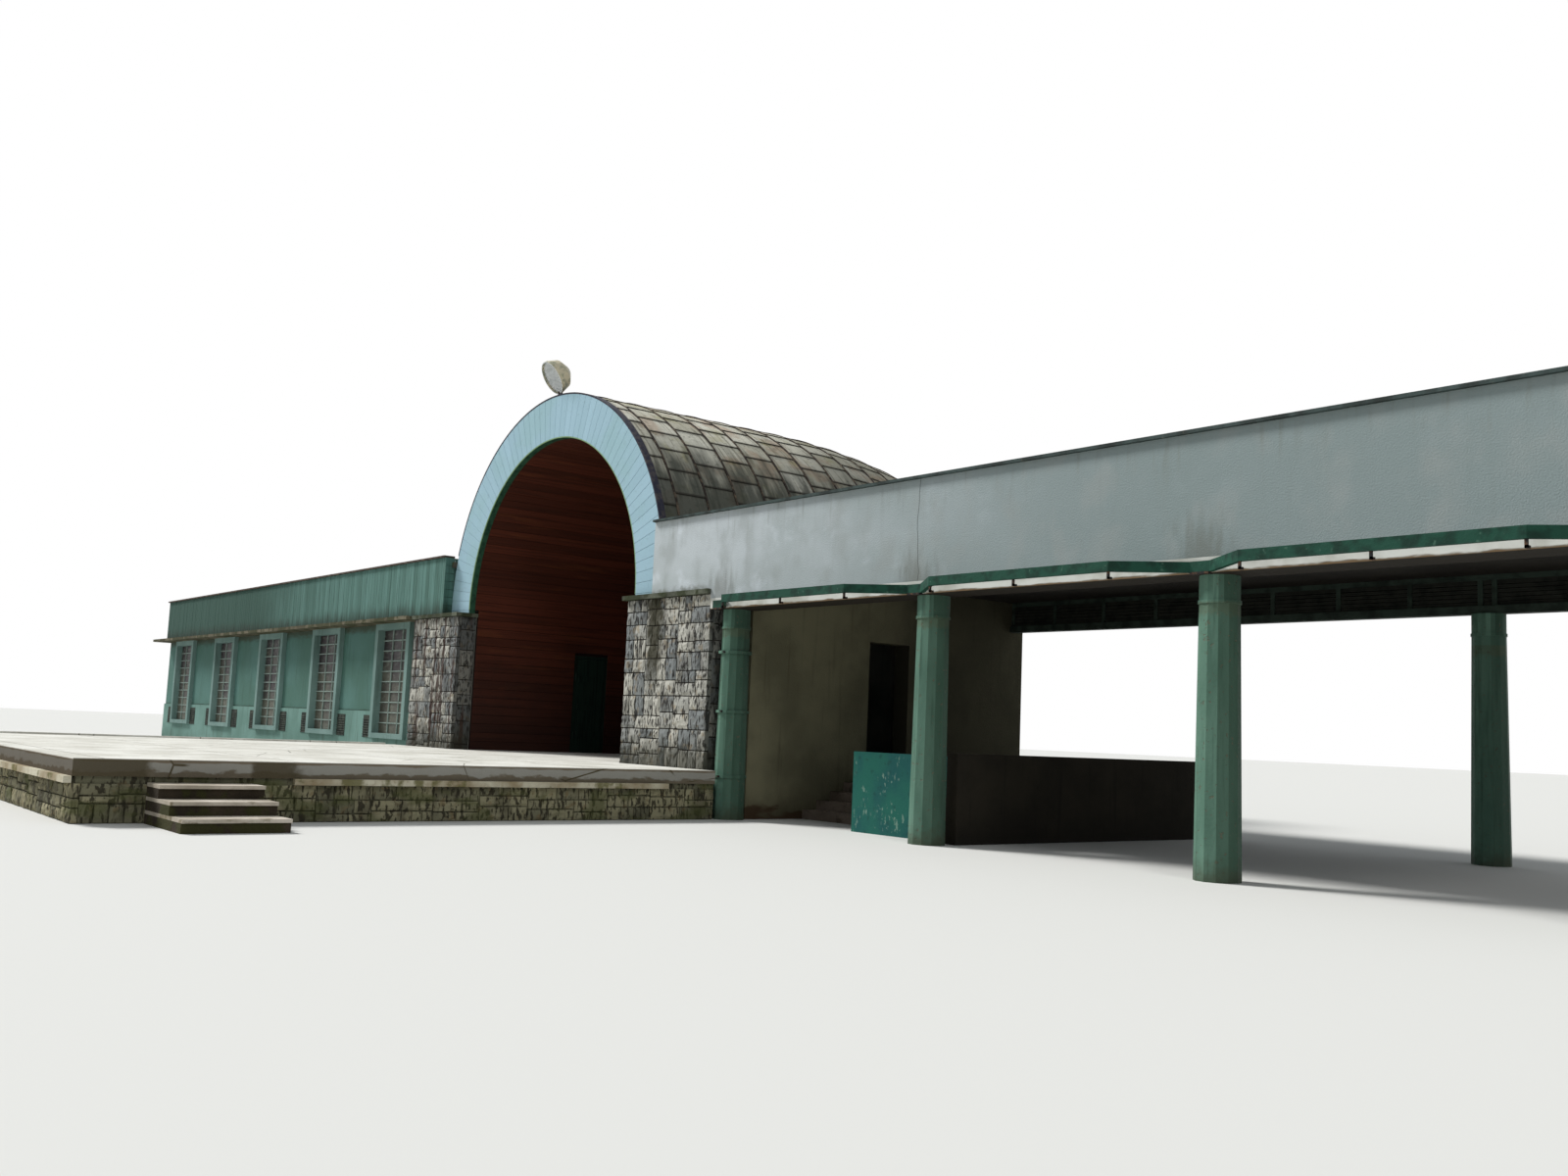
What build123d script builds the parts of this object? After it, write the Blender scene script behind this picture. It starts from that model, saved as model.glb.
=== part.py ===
from build123d import *
from math import cos, pi, sin
import os

# Band shell at 1:2. Every size is the model's own, half of the real building's.
# +X runs along the front to the right, +Y goes back, +Z is up.
# The origin is on the ground, below the middle of the arch, on the line of the front columns.

# Arch, vault and shell
ring_outer_radius = 2090
ring_width = 425
ring_thickness = 60
flashing_thickness = 15
flashing_overhang = 10
trim_thickness = 12
spring_height = 1895
roof_thickness = 50
lining_thickness = 35
first_rib = 150
rib_pitch = 355
barrel_ribs = 6
taper_ribs = 7
taper_radius = 8000
roof_panels = 28
back_wall_thickness = 150

# Stage
stage_height = 385
stage_half_width = 3150
stage_front = -4840
stage_slab_thickness = 105
ledge_band_thickness = 40
ledge_band_overhang = 45
ledge_band_back = -640
ledge_band_front = -3540
kerb_width = 60
kerb_height = 18
kerb_back = -300

# Front steps, on the right-hand side of the stage
step_rise = 82
step_count = 3
step_going = 255
tread_thickness = 22
tread_nosing = 20
steps_front = -4420
steps_back = -3800

# Piers
wing_face = -170
right_pier_width = 1270
left_pier_width = 1140
pier_back = 50
cap_thickness = 40
cap_overhang = 35
cap_top = 1860

# Both wings
wing_depth = 3450
wall_thickness = 150
fascia_thickness = 70
fascia_top = 2490
coping_thickness = 20
coping_overhang = 30
roof_slab_thickness = 60
roof_slab_drop = 50

# Left wing
left_end_margin = 1060
left_fascia_setback = 400
wing_floor_thickness = 80
ledge_overhang = 100
ledge_front = -270
window_count = 5
first_window_offset = 860
window_pitch = 2160
window_width = 1000
window_sill = 440
window_frame_width = 85
window_header_height = 75
window_apron_height = 60
window_frame_proud = 60
window_frame_depth = 130
glass_thickness = 12
glass_setback = 90
plinth_height = 760
plinth_proud = 18

# Colonnade
bay_length = 2260
bay_count = 3
first_column_gap = 14
column_height = 1690
column_base_radius = 130
column_top_radius = 113
column_sides = 12
neck_height = 160
neck_sides = 24
neck_ring_height = 20
neck_ring_proud = 6
band_height = 22
band_proud = 7
band_heights = (330, 850, 1330)
lintel_depth = 90
lintel_back = 110
right_overhang = 206
ceiling_height = 2050
ceiling_thickness = 30

# Awning rail
rail_height = 60
rail_thickness = 30
rail_reach = 300
rail_corner_offset = 420
rail_seat_half_width = 70
rail_top = 1755

# Rear row of the colonnade
rear_row = 3310
rear_beam_bottom = 1765
rear_beam_height = 60
rear_beam_width = 90
panel_divisions = 4
mullion_width = 36
mullion_depth = 40
post_offset = 50
top_rail_height = 40
panel_thickness = 20

# Side room and terrace
side_wall_thickness = 180
side_wall_front = 140
side_door_front = 1450
side_door_width = 480
side_door_top = 1540
terrace_width = 2350
terrace_wall_thickness = 100
terrace_wall_top = 620
terrace_wall_front = 150
terrace_panel_front = 230
terrace_step_width = 1200
terrace_panel_top = 595
terrace_panel_thickness = 40
terrace_step_front = 750
terrace_step_going = 150
terrace_step_count = 4

# Stage door, in the left-hand wall of the shell
door_front = 1280
door_opening_width = 440
door_opening_top = 1490
door_frame_width = 30
door_leaf_thickness = 25
door_clearance = 5
knob_radius = 11
knob_thickness = 12
knob_spindle_radius = 6
knob_reach = 30
knob_height = 500
knob_inset = 35
hinge_radius = 8
hinge_knuckle = 40
hinge_gap = 0.3
hinge_plate = 3
hinge_plate_width = 28
hinge_heights = (150, 830)

# Floodlight on the crown of the ring
lamp_radius = 175
lamp_collar = 30
lamp_waist_radius = 145
lamp_waist_depth = 125
lamp_back_radius = 60
lamp_depth = 190
lamp_wall = 8
lamp_aim = (-0.1, -0.85, -0.55)
lamp_rise = 165
lamp_sides = 24
lamp_forward = 120
lamp_glass_setback = 15
lamp_glass_thickness = 12
stub_radius = 24

ring_inner_radius = ring_outer_radius - ring_width
lining_outer_radius = ring_inner_radius + lining_thickness
roof_inner_radius = ring_outer_radius - roof_thickness
barrel_length = first_rib + barrel_ribs * rib_pitch
shell_depth = barrel_length + taper_ribs * rib_pitch
back_wall_front = shell_depth - back_wall_thickness
back_lining_front = back_wall_front - lining_thickness
slab_bottom = stage_height - stage_slab_thickness
band_bottom = slab_bottom - ledge_band_thickness
pier_inner = lining_outer_radius
right_pier_end = pier_inner + right_pier_width
left_pier_end = -(pier_inner + left_pier_width)
cap_bottom = cap_top - cap_thickness
fascia_back = wing_face + fascia_thickness
rear_fascia_front = wing_depth - fascia_thickness
rear_wall_front = wing_depth - wall_thickness
coping_top = fascia_top + coping_thickness
roof_top = fascia_top - roof_slab_drop
roof_bottom = roof_top - roof_slab_thickness
ledge_bottom = cap_bottom
first_window = left_pier_end - first_window_offset
window_centres = [first_window - i * window_pitch for i in range(window_count)]
left_end = window_centres[-1] - left_end_margin
left_fascia_end = left_end + left_fascia_setback
first_column = right_pier_end + column_base_radius + first_column_gap
column_spots = [first_column + i * bay_length for i in range(bay_count + 1)]
right_end = column_spots[-1] + right_overhang
lintel_top = column_height + lintel_depth
rear_beam_top = rear_beam_bottom + rear_beam_height
top_rail_bottom = ceiling_height - top_rail_height
rail_face = wing_face - rail_reach
door_back = door_front + door_opening_width
door_leaf_top = door_opening_top - door_frame_width - door_clearance
ring_crown = spring_height + ring_outer_radius + flashing_thickness
lamp_height = ring_crown + lamp_rise
room_front = pier_back + wall_thickness
neck_radius = column_top_radius
side_wall_face = right_pier_end + side_wall_thickness
terrace_wall_face = side_wall_face + terrace_width
terrace_wall_near = terrace_wall_face - terrace_wall_thickness
terrace_panel_left = side_wall_face + terrace_step_width

parts = []


def keep(builder, name):
    """Label a finished piece and keep it for export."""
    builder.part.label = name
    parts.append(builder.part)


def block(x, y, z, mode=Mode.ADD):
    """A plain block between two bounds on each axis."""
    centre = [(span[0] + span[1]) / 2 for span in (x, y, z)]
    size = [span[1] - span[0] for span in (x, y, z)]
    with Locations(tuple(centre)):
        Box(*size, mode=mode)


def drawn_in(y):
    """How far the shell has drawn in at depth y, on chords from rib to rib of a wide arc."""
    bay = max(0, min(int((y - barrel_length) / rib_pitch), taper_ribs - 1))
    near, far = (
        taper_radius - (taper_radius**2 - (rib * rib_pitch) ** 2) ** 0.5 for rib in (bay, bay + 1)
    )
    share = max(0, (y - barrel_length) / rib_pitch - bay)
    return near + share * (far - near)


def half_width(radius, y):
    """Half width, at depth y, of a shell surface that has this radius along the barrel."""
    return radius - drawn_in(y) if radius else 0


def rib_stations(y_start, y_end):
    """Both depths, and those of the ribs between them at which the shell changes direction."""
    ribs = [barrel_length + i * rib_pitch for i in range(taper_ribs)]
    return [y_start, *(y for y in ribs if y_start < y < y_end), y_end]


def edge_in_plan(radius, y_start, y_end):
    """Right-hand edge of a shell surface: straight along the barrel, then from rib to rib."""
    Polyline(*((half_width(radius, y), y) for y in rib_stations(y_start, y_end)))


def strip_in_plan(outer, inner, y_start, y_end):
    """Right-hand half of the plan between two shell surfaces; an inner radius of 0 fills it."""
    with BuildSketch(mode=Mode.PRIVATE) as strip:
        with BuildLine():
            edge_in_plan(outer, y_start, y_end)
            if inner:
                edge_in_plan(inner, y_start, y_end)
            else:
                Line((0, y_start), (0, y_end))
            Line((half_width(inner, y_start), y_start), (half_width(outer, y_start), y_start))
            Line((half_width(inner, y_end), y_end), (half_width(outer, y_end), y_end))
        make_face()
    return strip.sketch


def panelled(rings):
    """A solid of flat panels that run from corner to corner between flat outlines."""
    outlines = [rings[0], rings[-1]]
    for near, far in zip(rings, rings[1:]):
        for i in range(len(near)):
            outlines.append([near[i - 1], near[i], far[i], far[i - 1]])
    return Solid(Shell([Face(Wire.make_polygon(outline)) for outline in outlines]))


def panelled_vault(radius, y_start, y_end):
    """A solid vault of flat panels between the ribs, with its corners on round arches."""
    turns = [i * pi / roof_panels for i in range(roof_panels + 1)]
    arches = []
    for y in rib_stations(y_start, y_end):
        reach = half_width(radius, y)
        arches.append([Vector(reach * cos(turn), y, spring_height + reach * sin(turn)) for turn in turns])
    return panelled(arches)


def shell_envelope():
    """Everything inside the outer face of the shell, which the wings are cut back to."""
    with BuildPart(mode=Mode.PRIVATE) as envelope:
        with BuildSketch():
            add(strip_in_plan(ring_outer_radius, 0, fascia_back, shell_depth))
            mirror(about=Plane.YZ)
        extrude(amount=spring_height)
        with BuildSketch(Plane.XZ):
            with Locations((0, spring_height)):
                Circle(ring_outer_radius)
        extrude(amount=-fascia_back)
        add(panelled_vault(ring_outer_radius, 0, shell_depth))
    return envelope.part


shell_body = shell_envelope()

# Stage: filled base, cast slab, projecting band, kerb and steps
with BuildPart() as stage_base:
    block((-stage_half_width, stage_half_width), (stage_front, wing_face), (0, slab_bottom))
keep(stage_base, "stage_base")

with BuildPart() as stage_ledge:
    reach = stage_half_width + ledge_band_overhang
    front_edge = stage_front - ledge_band_overhang
    band_z = (band_bottom, slab_bottom)
    block((-reach, stage_half_width), (front_edge, stage_front), band_z)
    block((-reach, -stage_half_width), (stage_front, ledge_band_back), band_z)
    block((stage_half_width, reach), (ledge_band_front, ledge_band_back), band_z)
keep(stage_ledge, "stage_ledge")

with BuildPart() as stage_slab:
    block((-stage_half_width, stage_half_width), (stage_front, wing_face), (slab_bottom, stage_height))
keep(stage_slab, "stage_slab")

with BuildPart() as stage_kerb:
    kerb_x = (-stage_half_width, kerb_width - stage_half_width)
    block(kerb_x, (stage_front, kerb_back), (stage_height, stage_height + kerb_height))
keep(stage_kerb, "stage_kerb")

with BuildPart() as stage_steps:
    for i in range(step_count):
        step_x = (stage_half_width, stage_half_width + (step_count - i) * step_going)
        step_z = (i * step_rise, (i + 1) * step_rise - tread_thickness)
        block(step_x, (steps_front, steps_back), step_z)
keep(stage_steps, "stage_steps")

with BuildPart() as stage_treads:
    for i in range(step_count):
        tread_x = (stage_half_width, stage_half_width + (step_count - i) * step_going + tread_nosing)
        tread_z = ((i + 1) * step_rise - tread_thickness, (i + 1) * step_rise)
        block(tread_x, (steps_front, steps_back), tread_z)
keep(stage_treads, "stage_treads")

# Shell floor and the two piers with their cap slabs
with BuildPart() as shell_floor:
    with BuildSketch():
        add(strip_in_plan(lining_outer_radius, 0, wing_face, back_wall_front))
        mirror(about=Plane.YZ)
    extrude(amount=stage_height)
keep(shell_floor, "shell_floor")

with BuildPart() as shell_piers:
    block((pier_inner, right_pier_end), (wing_face, pier_back), (0, cap_bottom))
    block((left_pier_end, -pier_inner), (wing_face, pier_back), (0, cap_bottom))
keep(shell_piers, "shell_piers")

with BuildPart() as pier_caps:
    cap_y = (wing_face - cap_overhang, pier_back)
    cap_z = (cap_bottom, cap_top)
    block((pier_inner - cap_overhang, right_pier_end), cap_y, cap_z)
    block((left_pier_end, cap_overhang - pier_inner), cap_y, cap_z)
keep(pier_caps, "pier_caps")

# Arch ring, with its outer flashing and its inner trim
with BuildPart() as arch_ring:
    with BuildSketch(Plane.XZ):
        with Locations((0, spring_height)):
            Circle(ring_outer_radius)
            Circle(ring_inner_radius, mode=Mode.SUBTRACT)
        with Locations((0, spring_height - ring_outer_radius)):
            Rectangle(2 * ring_outer_radius, 2 * ring_outer_radius, mode=Mode.SUBTRACT)
        leg_centre = ring_inner_radius + ring_width / 2
        with Locations((leg_centre, cap_top), (-leg_centre, cap_top)):
            Rectangle(ring_width, spring_height - cap_top, align=(Align.CENTER, Align.MIN))
    extrude(amount=ring_thickness)
keep(arch_ring, "arch_ring")

with BuildPart() as ring_flashing:
    flashing_radius = ring_outer_radius + flashing_thickness
    with BuildSketch(Plane.XZ):
        with Locations((0, spring_height)):
            Circle(flashing_radius)
            Circle(ring_outer_radius, mode=Mode.SUBTRACT)
        with Locations((0, coping_top)):
            full = 2 * flashing_radius
            Rectangle(full, full, align=(Align.CENTER, Align.MAX), mode=Mode.SUBTRACT)
    extrude(amount=ring_thickness + flashing_overhang)
keep(ring_flashing, "ring_flashing")

with BuildPart() as ring_trim:
    trim_radius = ring_inner_radius - trim_thickness
    with BuildSketch(Plane.XZ):
        with Locations((0, spring_height)):
            Circle(ring_inner_radius)
            Circle(trim_radius, mode=Mode.SUBTRACT)
        with Locations((0, spring_height - ring_outer_radius)):
            Rectangle(2 * ring_outer_radius, 2 * ring_outer_radius, mode=Mode.SUBTRACT)
        trim_centre = ring_inner_radius - trim_thickness / 2
        with Locations((trim_centre, cap_top), (-trim_centre, cap_top)):
            Rectangle(trim_thickness, spring_height - cap_top, align=(Align.CENTER, Align.MIN))
    extrude(amount=ring_thickness)
keep(ring_trim, "ring_trim")

# Vault: outer roof, boarded lining and the walls that carry them
with BuildPart() as vault_roof:
    add(panelled_vault(ring_outer_radius, 0, shell_depth))
    add(panelled_vault(roof_inner_radius, 0, shell_depth), mode=Mode.SUBTRACT)
keep(vault_roof, "vault_roof")

with BuildPart() as vault_lining:
    add(panelled_vault(lining_outer_radius, 0, back_lining_front))
    add(panelled_vault(ring_inner_radius, 0, back_lining_front), mode=Mode.SUBTRACT)
keep(vault_lining, "vault_lining")

door_y = (door_front, door_back)
door_z = (stage_height, door_opening_top)

with BuildPart() as lining_walls:
    with BuildSketch(Plane.XY.offset(stage_height)):
        add(strip_in_plan(lining_outer_radius, ring_inner_radius, pier_back, back_lining_front))
        mirror(about=Plane.YZ)
    extrude(amount=spring_height - stage_height)
    block((-2 * ring_outer_radius, 0), door_y, door_z, Mode.SUBTRACT)
keep(lining_walls, "lining_walls")

with BuildPart() as back_lining:
    with BuildSketch(Plane.XY.offset(stage_height)):
        add(strip_in_plan(lining_outer_radius, 0, back_lining_front, back_wall_front))
        mirror(about=Plane.YZ)
    extrude(amount=spring_height - stage_height)
    add(panelled_vault(lining_outer_radius, back_lining_front, back_wall_front))
keep(back_lining, "back_lining")

with BuildPart() as shell_side_walls:
    with BuildSketch():
        add(strip_in_plan(ring_outer_radius, lining_outer_radius, pier_back, back_wall_front))
        mirror(about=Plane.YZ)
    extrude(amount=spring_height)
    block((-2 * ring_outer_radius, 0), door_y, door_z, Mode.SUBTRACT)
keep(shell_side_walls, "shell_side_walls")

with BuildPart() as shell_back_wall:
    with BuildSketch():
        add(strip_in_plan(ring_outer_radius, 0, back_wall_front, shell_depth))
        mirror(about=Plane.YZ)
    extrude(amount=spring_height)
    add(panelled_vault(roof_inner_radius, back_wall_front, shell_depth))
keep(shell_back_wall, "shell_back_wall")

# Stage door: a leaf that swings into the shell on two lift-off hinges, and its lining frame
frame_x = (-lining_outer_radius - door_frame_width, -ring_inner_radius)
leaf_face = -ring_inner_radius
leaf_y = (door_front + door_frame_width + door_clearance, door_back - door_frame_width - door_clearance)
hinge_x = leaf_face + hinge_radius
hinge_y = leaf_y[0] - door_clearance / 2


def hinge_halves(plate_y, lift):
    """Knuckles of both hinges, each on a plate that lies on the face beside it."""
    for height in hinge_heights:
        foot = stage_height + height + lift
        with Locations((hinge_x, hinge_y, foot)):
            Cylinder(hinge_radius, hinge_knuckle, align=(Align.CENTER, Align.CENTER, Align.MIN))
        block((leaf_face, leaf_face + hinge_plate), plate_y, (foot, foot + hinge_knuckle))


with BuildPart() as stage_door_frame:
    block(frame_x, door_y, door_z)
    inner_y = (door_front + door_frame_width, door_back - door_frame_width)
    block(frame_x, inner_y, (stage_height, door_opening_top - door_frame_width), Mode.SUBTRACT)
    hinge_halves((hinge_y - hinge_plate_width, hinge_y), 0)
keep(stage_door_frame, "stage_door_frame")

with BuildPart() as stage_door:
    leaf_z = (stage_height + door_clearance, door_leaf_top)
    block((leaf_face - door_leaf_thickness, leaf_face), leaf_y, leaf_z)
    hinge_halves((hinge_y, hinge_y + hinge_plate_width), hinge_knuckle + hinge_gap)
    knob_y = leaf_y[1] - knob_inset
    knob_foot = Plane(origin=(leaf_face, knob_y, stage_height + knob_height), z_dir=(1, 0, 0))
    with BuildSketch(knob_foot):
        Circle(knob_spindle_radius)
    extrude(amount=knob_reach)
    with BuildSketch(knob_foot.offset(knob_reach - knob_thickness)):
        Circle(knob_radius)
    extrude(amount=knob_thickness)
keep(stage_door, "stage_door")

# Floodlight: a deep dish with a flat glass, on a stub that stands on the crown of the ring
stub_foot = Plane((0, -ring_thickness / 2, ring_crown))
aim = Vector(lamp_aim).normalized()
lamp_centre = Vector(0, -ring_thickness / 2, lamp_height) + Vector(aim.X, aim.Y, 0) * lamp_forward
rim_plane = Plane(lamp_centre, z_dir=aim)
lamp_stages = (
    (0, lamp_radius),
    (lamp_collar, lamp_radius),
    (lamp_waist_depth, lamp_waist_radius),
    (lamp_depth, lamp_back_radius),
)


def dish(inset):
    """A solid dish, this much smaller inside its rim: a collar, two flared stages and a flat back."""
    turns = [i * 2 * pi / lamp_sides for i in range(lamp_sides)]
    rings = []
    for depth, radius in lamp_stages:
        reach = radius - inset
        level = -min(depth, lamp_depth - inset)
        corners = [Vector(reach * cos(turn), reach * sin(turn), level) for turn in turns]
        rings.append([rim_plane.from_local_coords(corner) for corner in corners])
    return panelled(rings)


with BuildPart() as floodlight_head:
    add(dish(0))
    add(dish(lamp_wall), mode=Mode.SUBTRACT)
keep(floodlight_head, "floodlight_head")

with BuildPart() as floodlight_glass:
    with BuildSketch(rim_plane.offset(-lamp_glass_setback)):
        RegularPolygon(lamp_radius - lamp_wall, lamp_sides)
    extrude(amount=-lamp_glass_thickness)
keep(floodlight_glass, "floodlight_glass")

with BuildPart() as floodlight_stub:
    with BuildSketch(stub_foot):
        Circle(stub_radius)
    extrude(amount=lamp_height - ring_crown)
    add(dish(0), mode=Mode.SUBTRACT)
keep(floodlight_stub, "floodlight_stub")

# Left wing: walls with window openings, plinth, ledge slab and the boarded fascia above it
wall_z = (0, ledge_bottom)


def cut_windows(y):
    """Cut the row of window openings, which reach up to the ledge, through this span of y."""
    for centre in window_centres:
        opening_x = (centre - window_width / 2, centre + window_width / 2)
        block(opening_x, y, (window_sill, ledge_bottom), Mode.SUBTRACT)


with BuildPart() as left_front_wall:
    block((left_end, left_pier_end), (0, wall_thickness), wall_z)
    block((left_pier_end, -ring_outer_radius), (pier_back, wall_thickness), wall_z)
    cut_windows((0, wall_thickness))
keep(left_front_wall, "left_front_wall")

with BuildPart() as left_back_wall:
    block((left_end, 0), (rear_wall_front, wing_depth), wall_z)
    add(shell_body, mode=Mode.SUBTRACT)
    cut_windows((rear_wall_front, wing_depth))
keep(left_back_wall, "left_back_wall")

with BuildPart() as left_end_wall:
    block((left_end, left_end + wall_thickness), (wall_thickness, rear_wall_front), wall_z)
keep(left_end_wall, "left_end_wall")

with BuildPart() as left_plinth:
    plinth_z = (0, plinth_height)
    outer_end = left_end - plinth_proud
    block((outer_end, left_pier_end), (-plinth_proud, 0), plinth_z)
    block((outer_end, left_end), (0, wing_depth), plinth_z)
    block((outer_end, 0), (wing_depth, wing_depth + plinth_proud), plinth_z)
    add(shell_body, mode=Mode.SUBTRACT)
    cut_windows((-plinth_proud, wing_depth + plinth_proud))
keep(left_plinth, "left_plinth")

with BuildPart() as left_ledge:
    ledge_z = (ledge_bottom, cap_top)
    ledge_back = wing_depth + ledge_overhang
    block((left_end - ledge_overhang, left_pier_end), (ledge_front, ledge_back), ledge_z)
    block((left_pier_end, 0), (pier_back, ledge_back), ledge_z)
    add(shell_body, mode=Mode.SUBTRACT)
keep(left_ledge, "left_ledge")

with BuildPart() as left_fascia:
    fascia_z = (cap_top, fascia_top)
    block((left_fascia_end, -ring_outer_radius), (wing_face, fascia_back), fascia_z)
    block((left_fascia_end, left_fascia_end + fascia_thickness), (fascia_back, rear_fascia_front), fascia_z)
    block((left_fascia_end, 0), (rear_fascia_front, wing_depth), fascia_z)
    add(shell_body, mode=Mode.SUBTRACT)
keep(left_fascia, "left_fascia")

with BuildPart() as left_flashing:
    flashing_z = (fascia_top, coping_top)
    inner = fascia_thickness + coping_overhang
    outer_x = left_fascia_end - coping_overhang
    block((outer_x, -ring_outer_radius), (wing_face - coping_overhang, wing_face + inner), flashing_z)
    block((outer_x, left_fascia_end + inner), (wing_face, wing_depth), flashing_z)
    block((outer_x, 0), (wing_depth - inner, wing_depth + coping_overhang), flashing_z)
    add(shell_body, mode=Mode.SUBTRACT)
keep(left_flashing, "left_flashing")

light_reach = window_width / 2 - window_frame_width
light_z = (window_sill + window_apron_height, ledge_bottom - window_header_height)

with BuildPart() as window_frames:
    for frame_front in (-window_frame_proud, wing_depth + window_frame_proud - window_frame_depth):
        frame_y = (frame_front, frame_front + window_frame_depth)
        for centre in window_centres:
            reach = window_width / 2
            block((centre - reach, centre + reach), frame_y, (window_sill, ledge_bottom))
            block((centre - light_reach, centre + light_reach), frame_y, light_z, Mode.SUBTRACT)
keep(window_frames, "window_frames")

with BuildPart() as window_glazing:
    outer_faces = (-window_frame_proud, wing_depth + window_frame_proud)
    for outer_face, inward in zip(outer_faces, (1, -1)):
        near = outer_face + inward * glass_setback
        far = near + inward * glass_thickness
        for centre in window_centres:
            block((centre - light_reach, centre + light_reach), (min(near, far), max(near, far)), light_z)
keep(window_glazing, "window_glazing")

# Both wings: floors inside the walls and flat roofs sunk behind the fascias
with BuildPart() as wing_floors:
    floor_z = (stage_height - wing_floor_thickness, stage_height)
    block((left_end + wall_thickness, 0), (wall_thickness, rear_wall_front), floor_z)
    block((0, right_pier_end), (room_front, rear_wall_front), floor_z)
    add(shell_body, mode=Mode.SUBTRACT)
keep(wing_floors, "wing_floors")

with BuildPart() as wing_roofs:
    roof_x = (left_fascia_end + fascia_thickness, right_end - fascia_thickness)
    block(roof_x, (fascia_back, rear_fascia_front), (roof_bottom, roof_top))
    add(shell_body, mode=Mode.SUBTRACT)
keep(wing_roofs, "wing_roofs")

# Right wing: columns, lintel, fascia with its coping, and the ceiling behind
def column(height):
    """A tapering many-sided shaft under a raised ring and a round neck."""
    shaft = height - neck_height
    with BuildPart(mode=Mode.PRIVATE) as post:
        with BuildSketch():
            RegularPolygon(column_base_radius, column_sides)
        with BuildSketch(Plane.XY.offset(shaft)):
            RegularPolygon(column_top_radius, column_sides)
        loft()
        with BuildSketch(Plane.XY.offset(shaft)):
            RegularPolygon(neck_radius, neck_sides)
        extrude(amount=neck_height)
        with BuildSketch(Plane.XY.offset(shaft)):
            RegularPolygon(neck_radius + neck_ring_proud, neck_sides)
        extrude(amount=neck_ring_height)
    return post.part


with BuildPart() as front_columns:
    with Locations([(x, 0, 0) for x in column_spots]):
        add(column(column_height))
keep(front_columns, "front_columns")

with BuildPart() as rear_columns:
    with Locations([(x, rear_row, 0) for x in column_spots[1:]]):
        add(column(rear_beam_bottom))
keep(rear_columns, "rear_columns")

with BuildPart() as column_bands:
    for height in band_heights:
        with BuildSketch(Plane((column_spots[0], 0, height))):
            RegularPolygon(column_base_radius + band_proud, column_sides)
        extrude(amount=band_height)
    add(front_columns.part, mode=Mode.SUBTRACT)
keep(column_bands, "column_bands")

with BuildPart() as right_lintel:
    lintel_z = (column_height, lintel_top)
    block((right_pier_end, right_end), (wing_face, lintel_back), lintel_z)
    end_lintel_y = (lintel_back, rear_row - neck_radius)
    block((right_end - 2 * fascia_thickness, right_end), end_lintel_y, lintel_z)
keep(right_lintel, "right_lintel")

with BuildPart() as right_fascia:
    block((ring_outer_radius, right_pier_end), (wing_face, fascia_back), (cap_top, fascia_top))
    block((right_pier_end, right_end), (wing_face, fascia_back), (lintel_top, fascia_top))
    end_x = (right_end - fascia_thickness, right_end)
    block(end_x, (fascia_back, rear_fascia_front), (lintel_top, fascia_top))
    block((0, right_end), (rear_fascia_front, wing_depth), (ceiling_height, fascia_top))
    add(shell_body, mode=Mode.SUBTRACT)
keep(right_fascia, "right_fascia")

with BuildPart() as right_coping:
    coping_z = (fascia_top, coping_top)
    inner = fascia_thickness + coping_overhang
    outer_x = right_end + coping_overhang
    block((ring_outer_radius, outer_x), (wing_face - coping_overhang, wing_face + inner), coping_z)
    block((right_end - inner, outer_x), (wing_face, wing_depth), coping_z)
    block((0, outer_x), (wing_depth - inner, wing_depth + coping_overhang), coping_z)
    add(shell_body, mode=Mode.SUBTRACT)
keep(right_coping, "right_coping")

with BuildPart() as right_ceiling:
    ceiling_z = (ceiling_height, ceiling_height + ceiling_thickness)
    block((0, right_end - fascia_thickness), (fascia_back, rear_fascia_front), ceiling_z)
    add(shell_body, mode=Mode.SUBTRACT)
keep(right_ceiling, "right_ceiling")

# Awning rail: one bent band on the lintel, standing out in every bay
rail_back_line = wing_face - rail_thickness / 2
rail_front_line = rail_face + rail_thickness / 2
route = [(first_column - rail_seat_half_width, rail_back_line)]
for x in column_spots[:-1]:
    route.append((x + rail_seat_half_width, rail_back_line))
    route.append((x + rail_corner_offset, rail_front_line))
    route.append((x + bay_length - rail_corner_offset, rail_front_line))
    route.append((x + bay_length - rail_seat_half_width, rail_back_line))
route.append((column_spots[-1] + rail_seat_half_width, rail_back_line))

with BuildPart() as awning_rail:
    rail_middle = rail_top - rail_height / 2
    with BuildLine(Plane.XY.offset(rail_middle)):
        Polyline(*route)
    with BuildSketch(Plane((*route[0], rail_middle), x_dir=(0, 1, 0), z_dir=(1, 0, 0))):
        Rectangle(rail_thickness, rail_height)
    sweep(transition=Transition.RIGHT)
keep(awning_rail, "awning_rail")

# Rear row of the colonnade: beam, posts and top rail, with the panels between them
row_x = (side_wall_face, right_end - fascia_thickness)
post_spots = [row_x[0] + mullion_width / 2, row_x[1] - mullion_width / 2]
for x in column_spots[:-1]:
    for i in range(1, panel_divisions):
        post_spots.append(x + i * bay_length / panel_divisions)
for x in column_spots[1:]:
    post_spots.append(x - post_offset)
    post_spots.append(x + post_offset)

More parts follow.
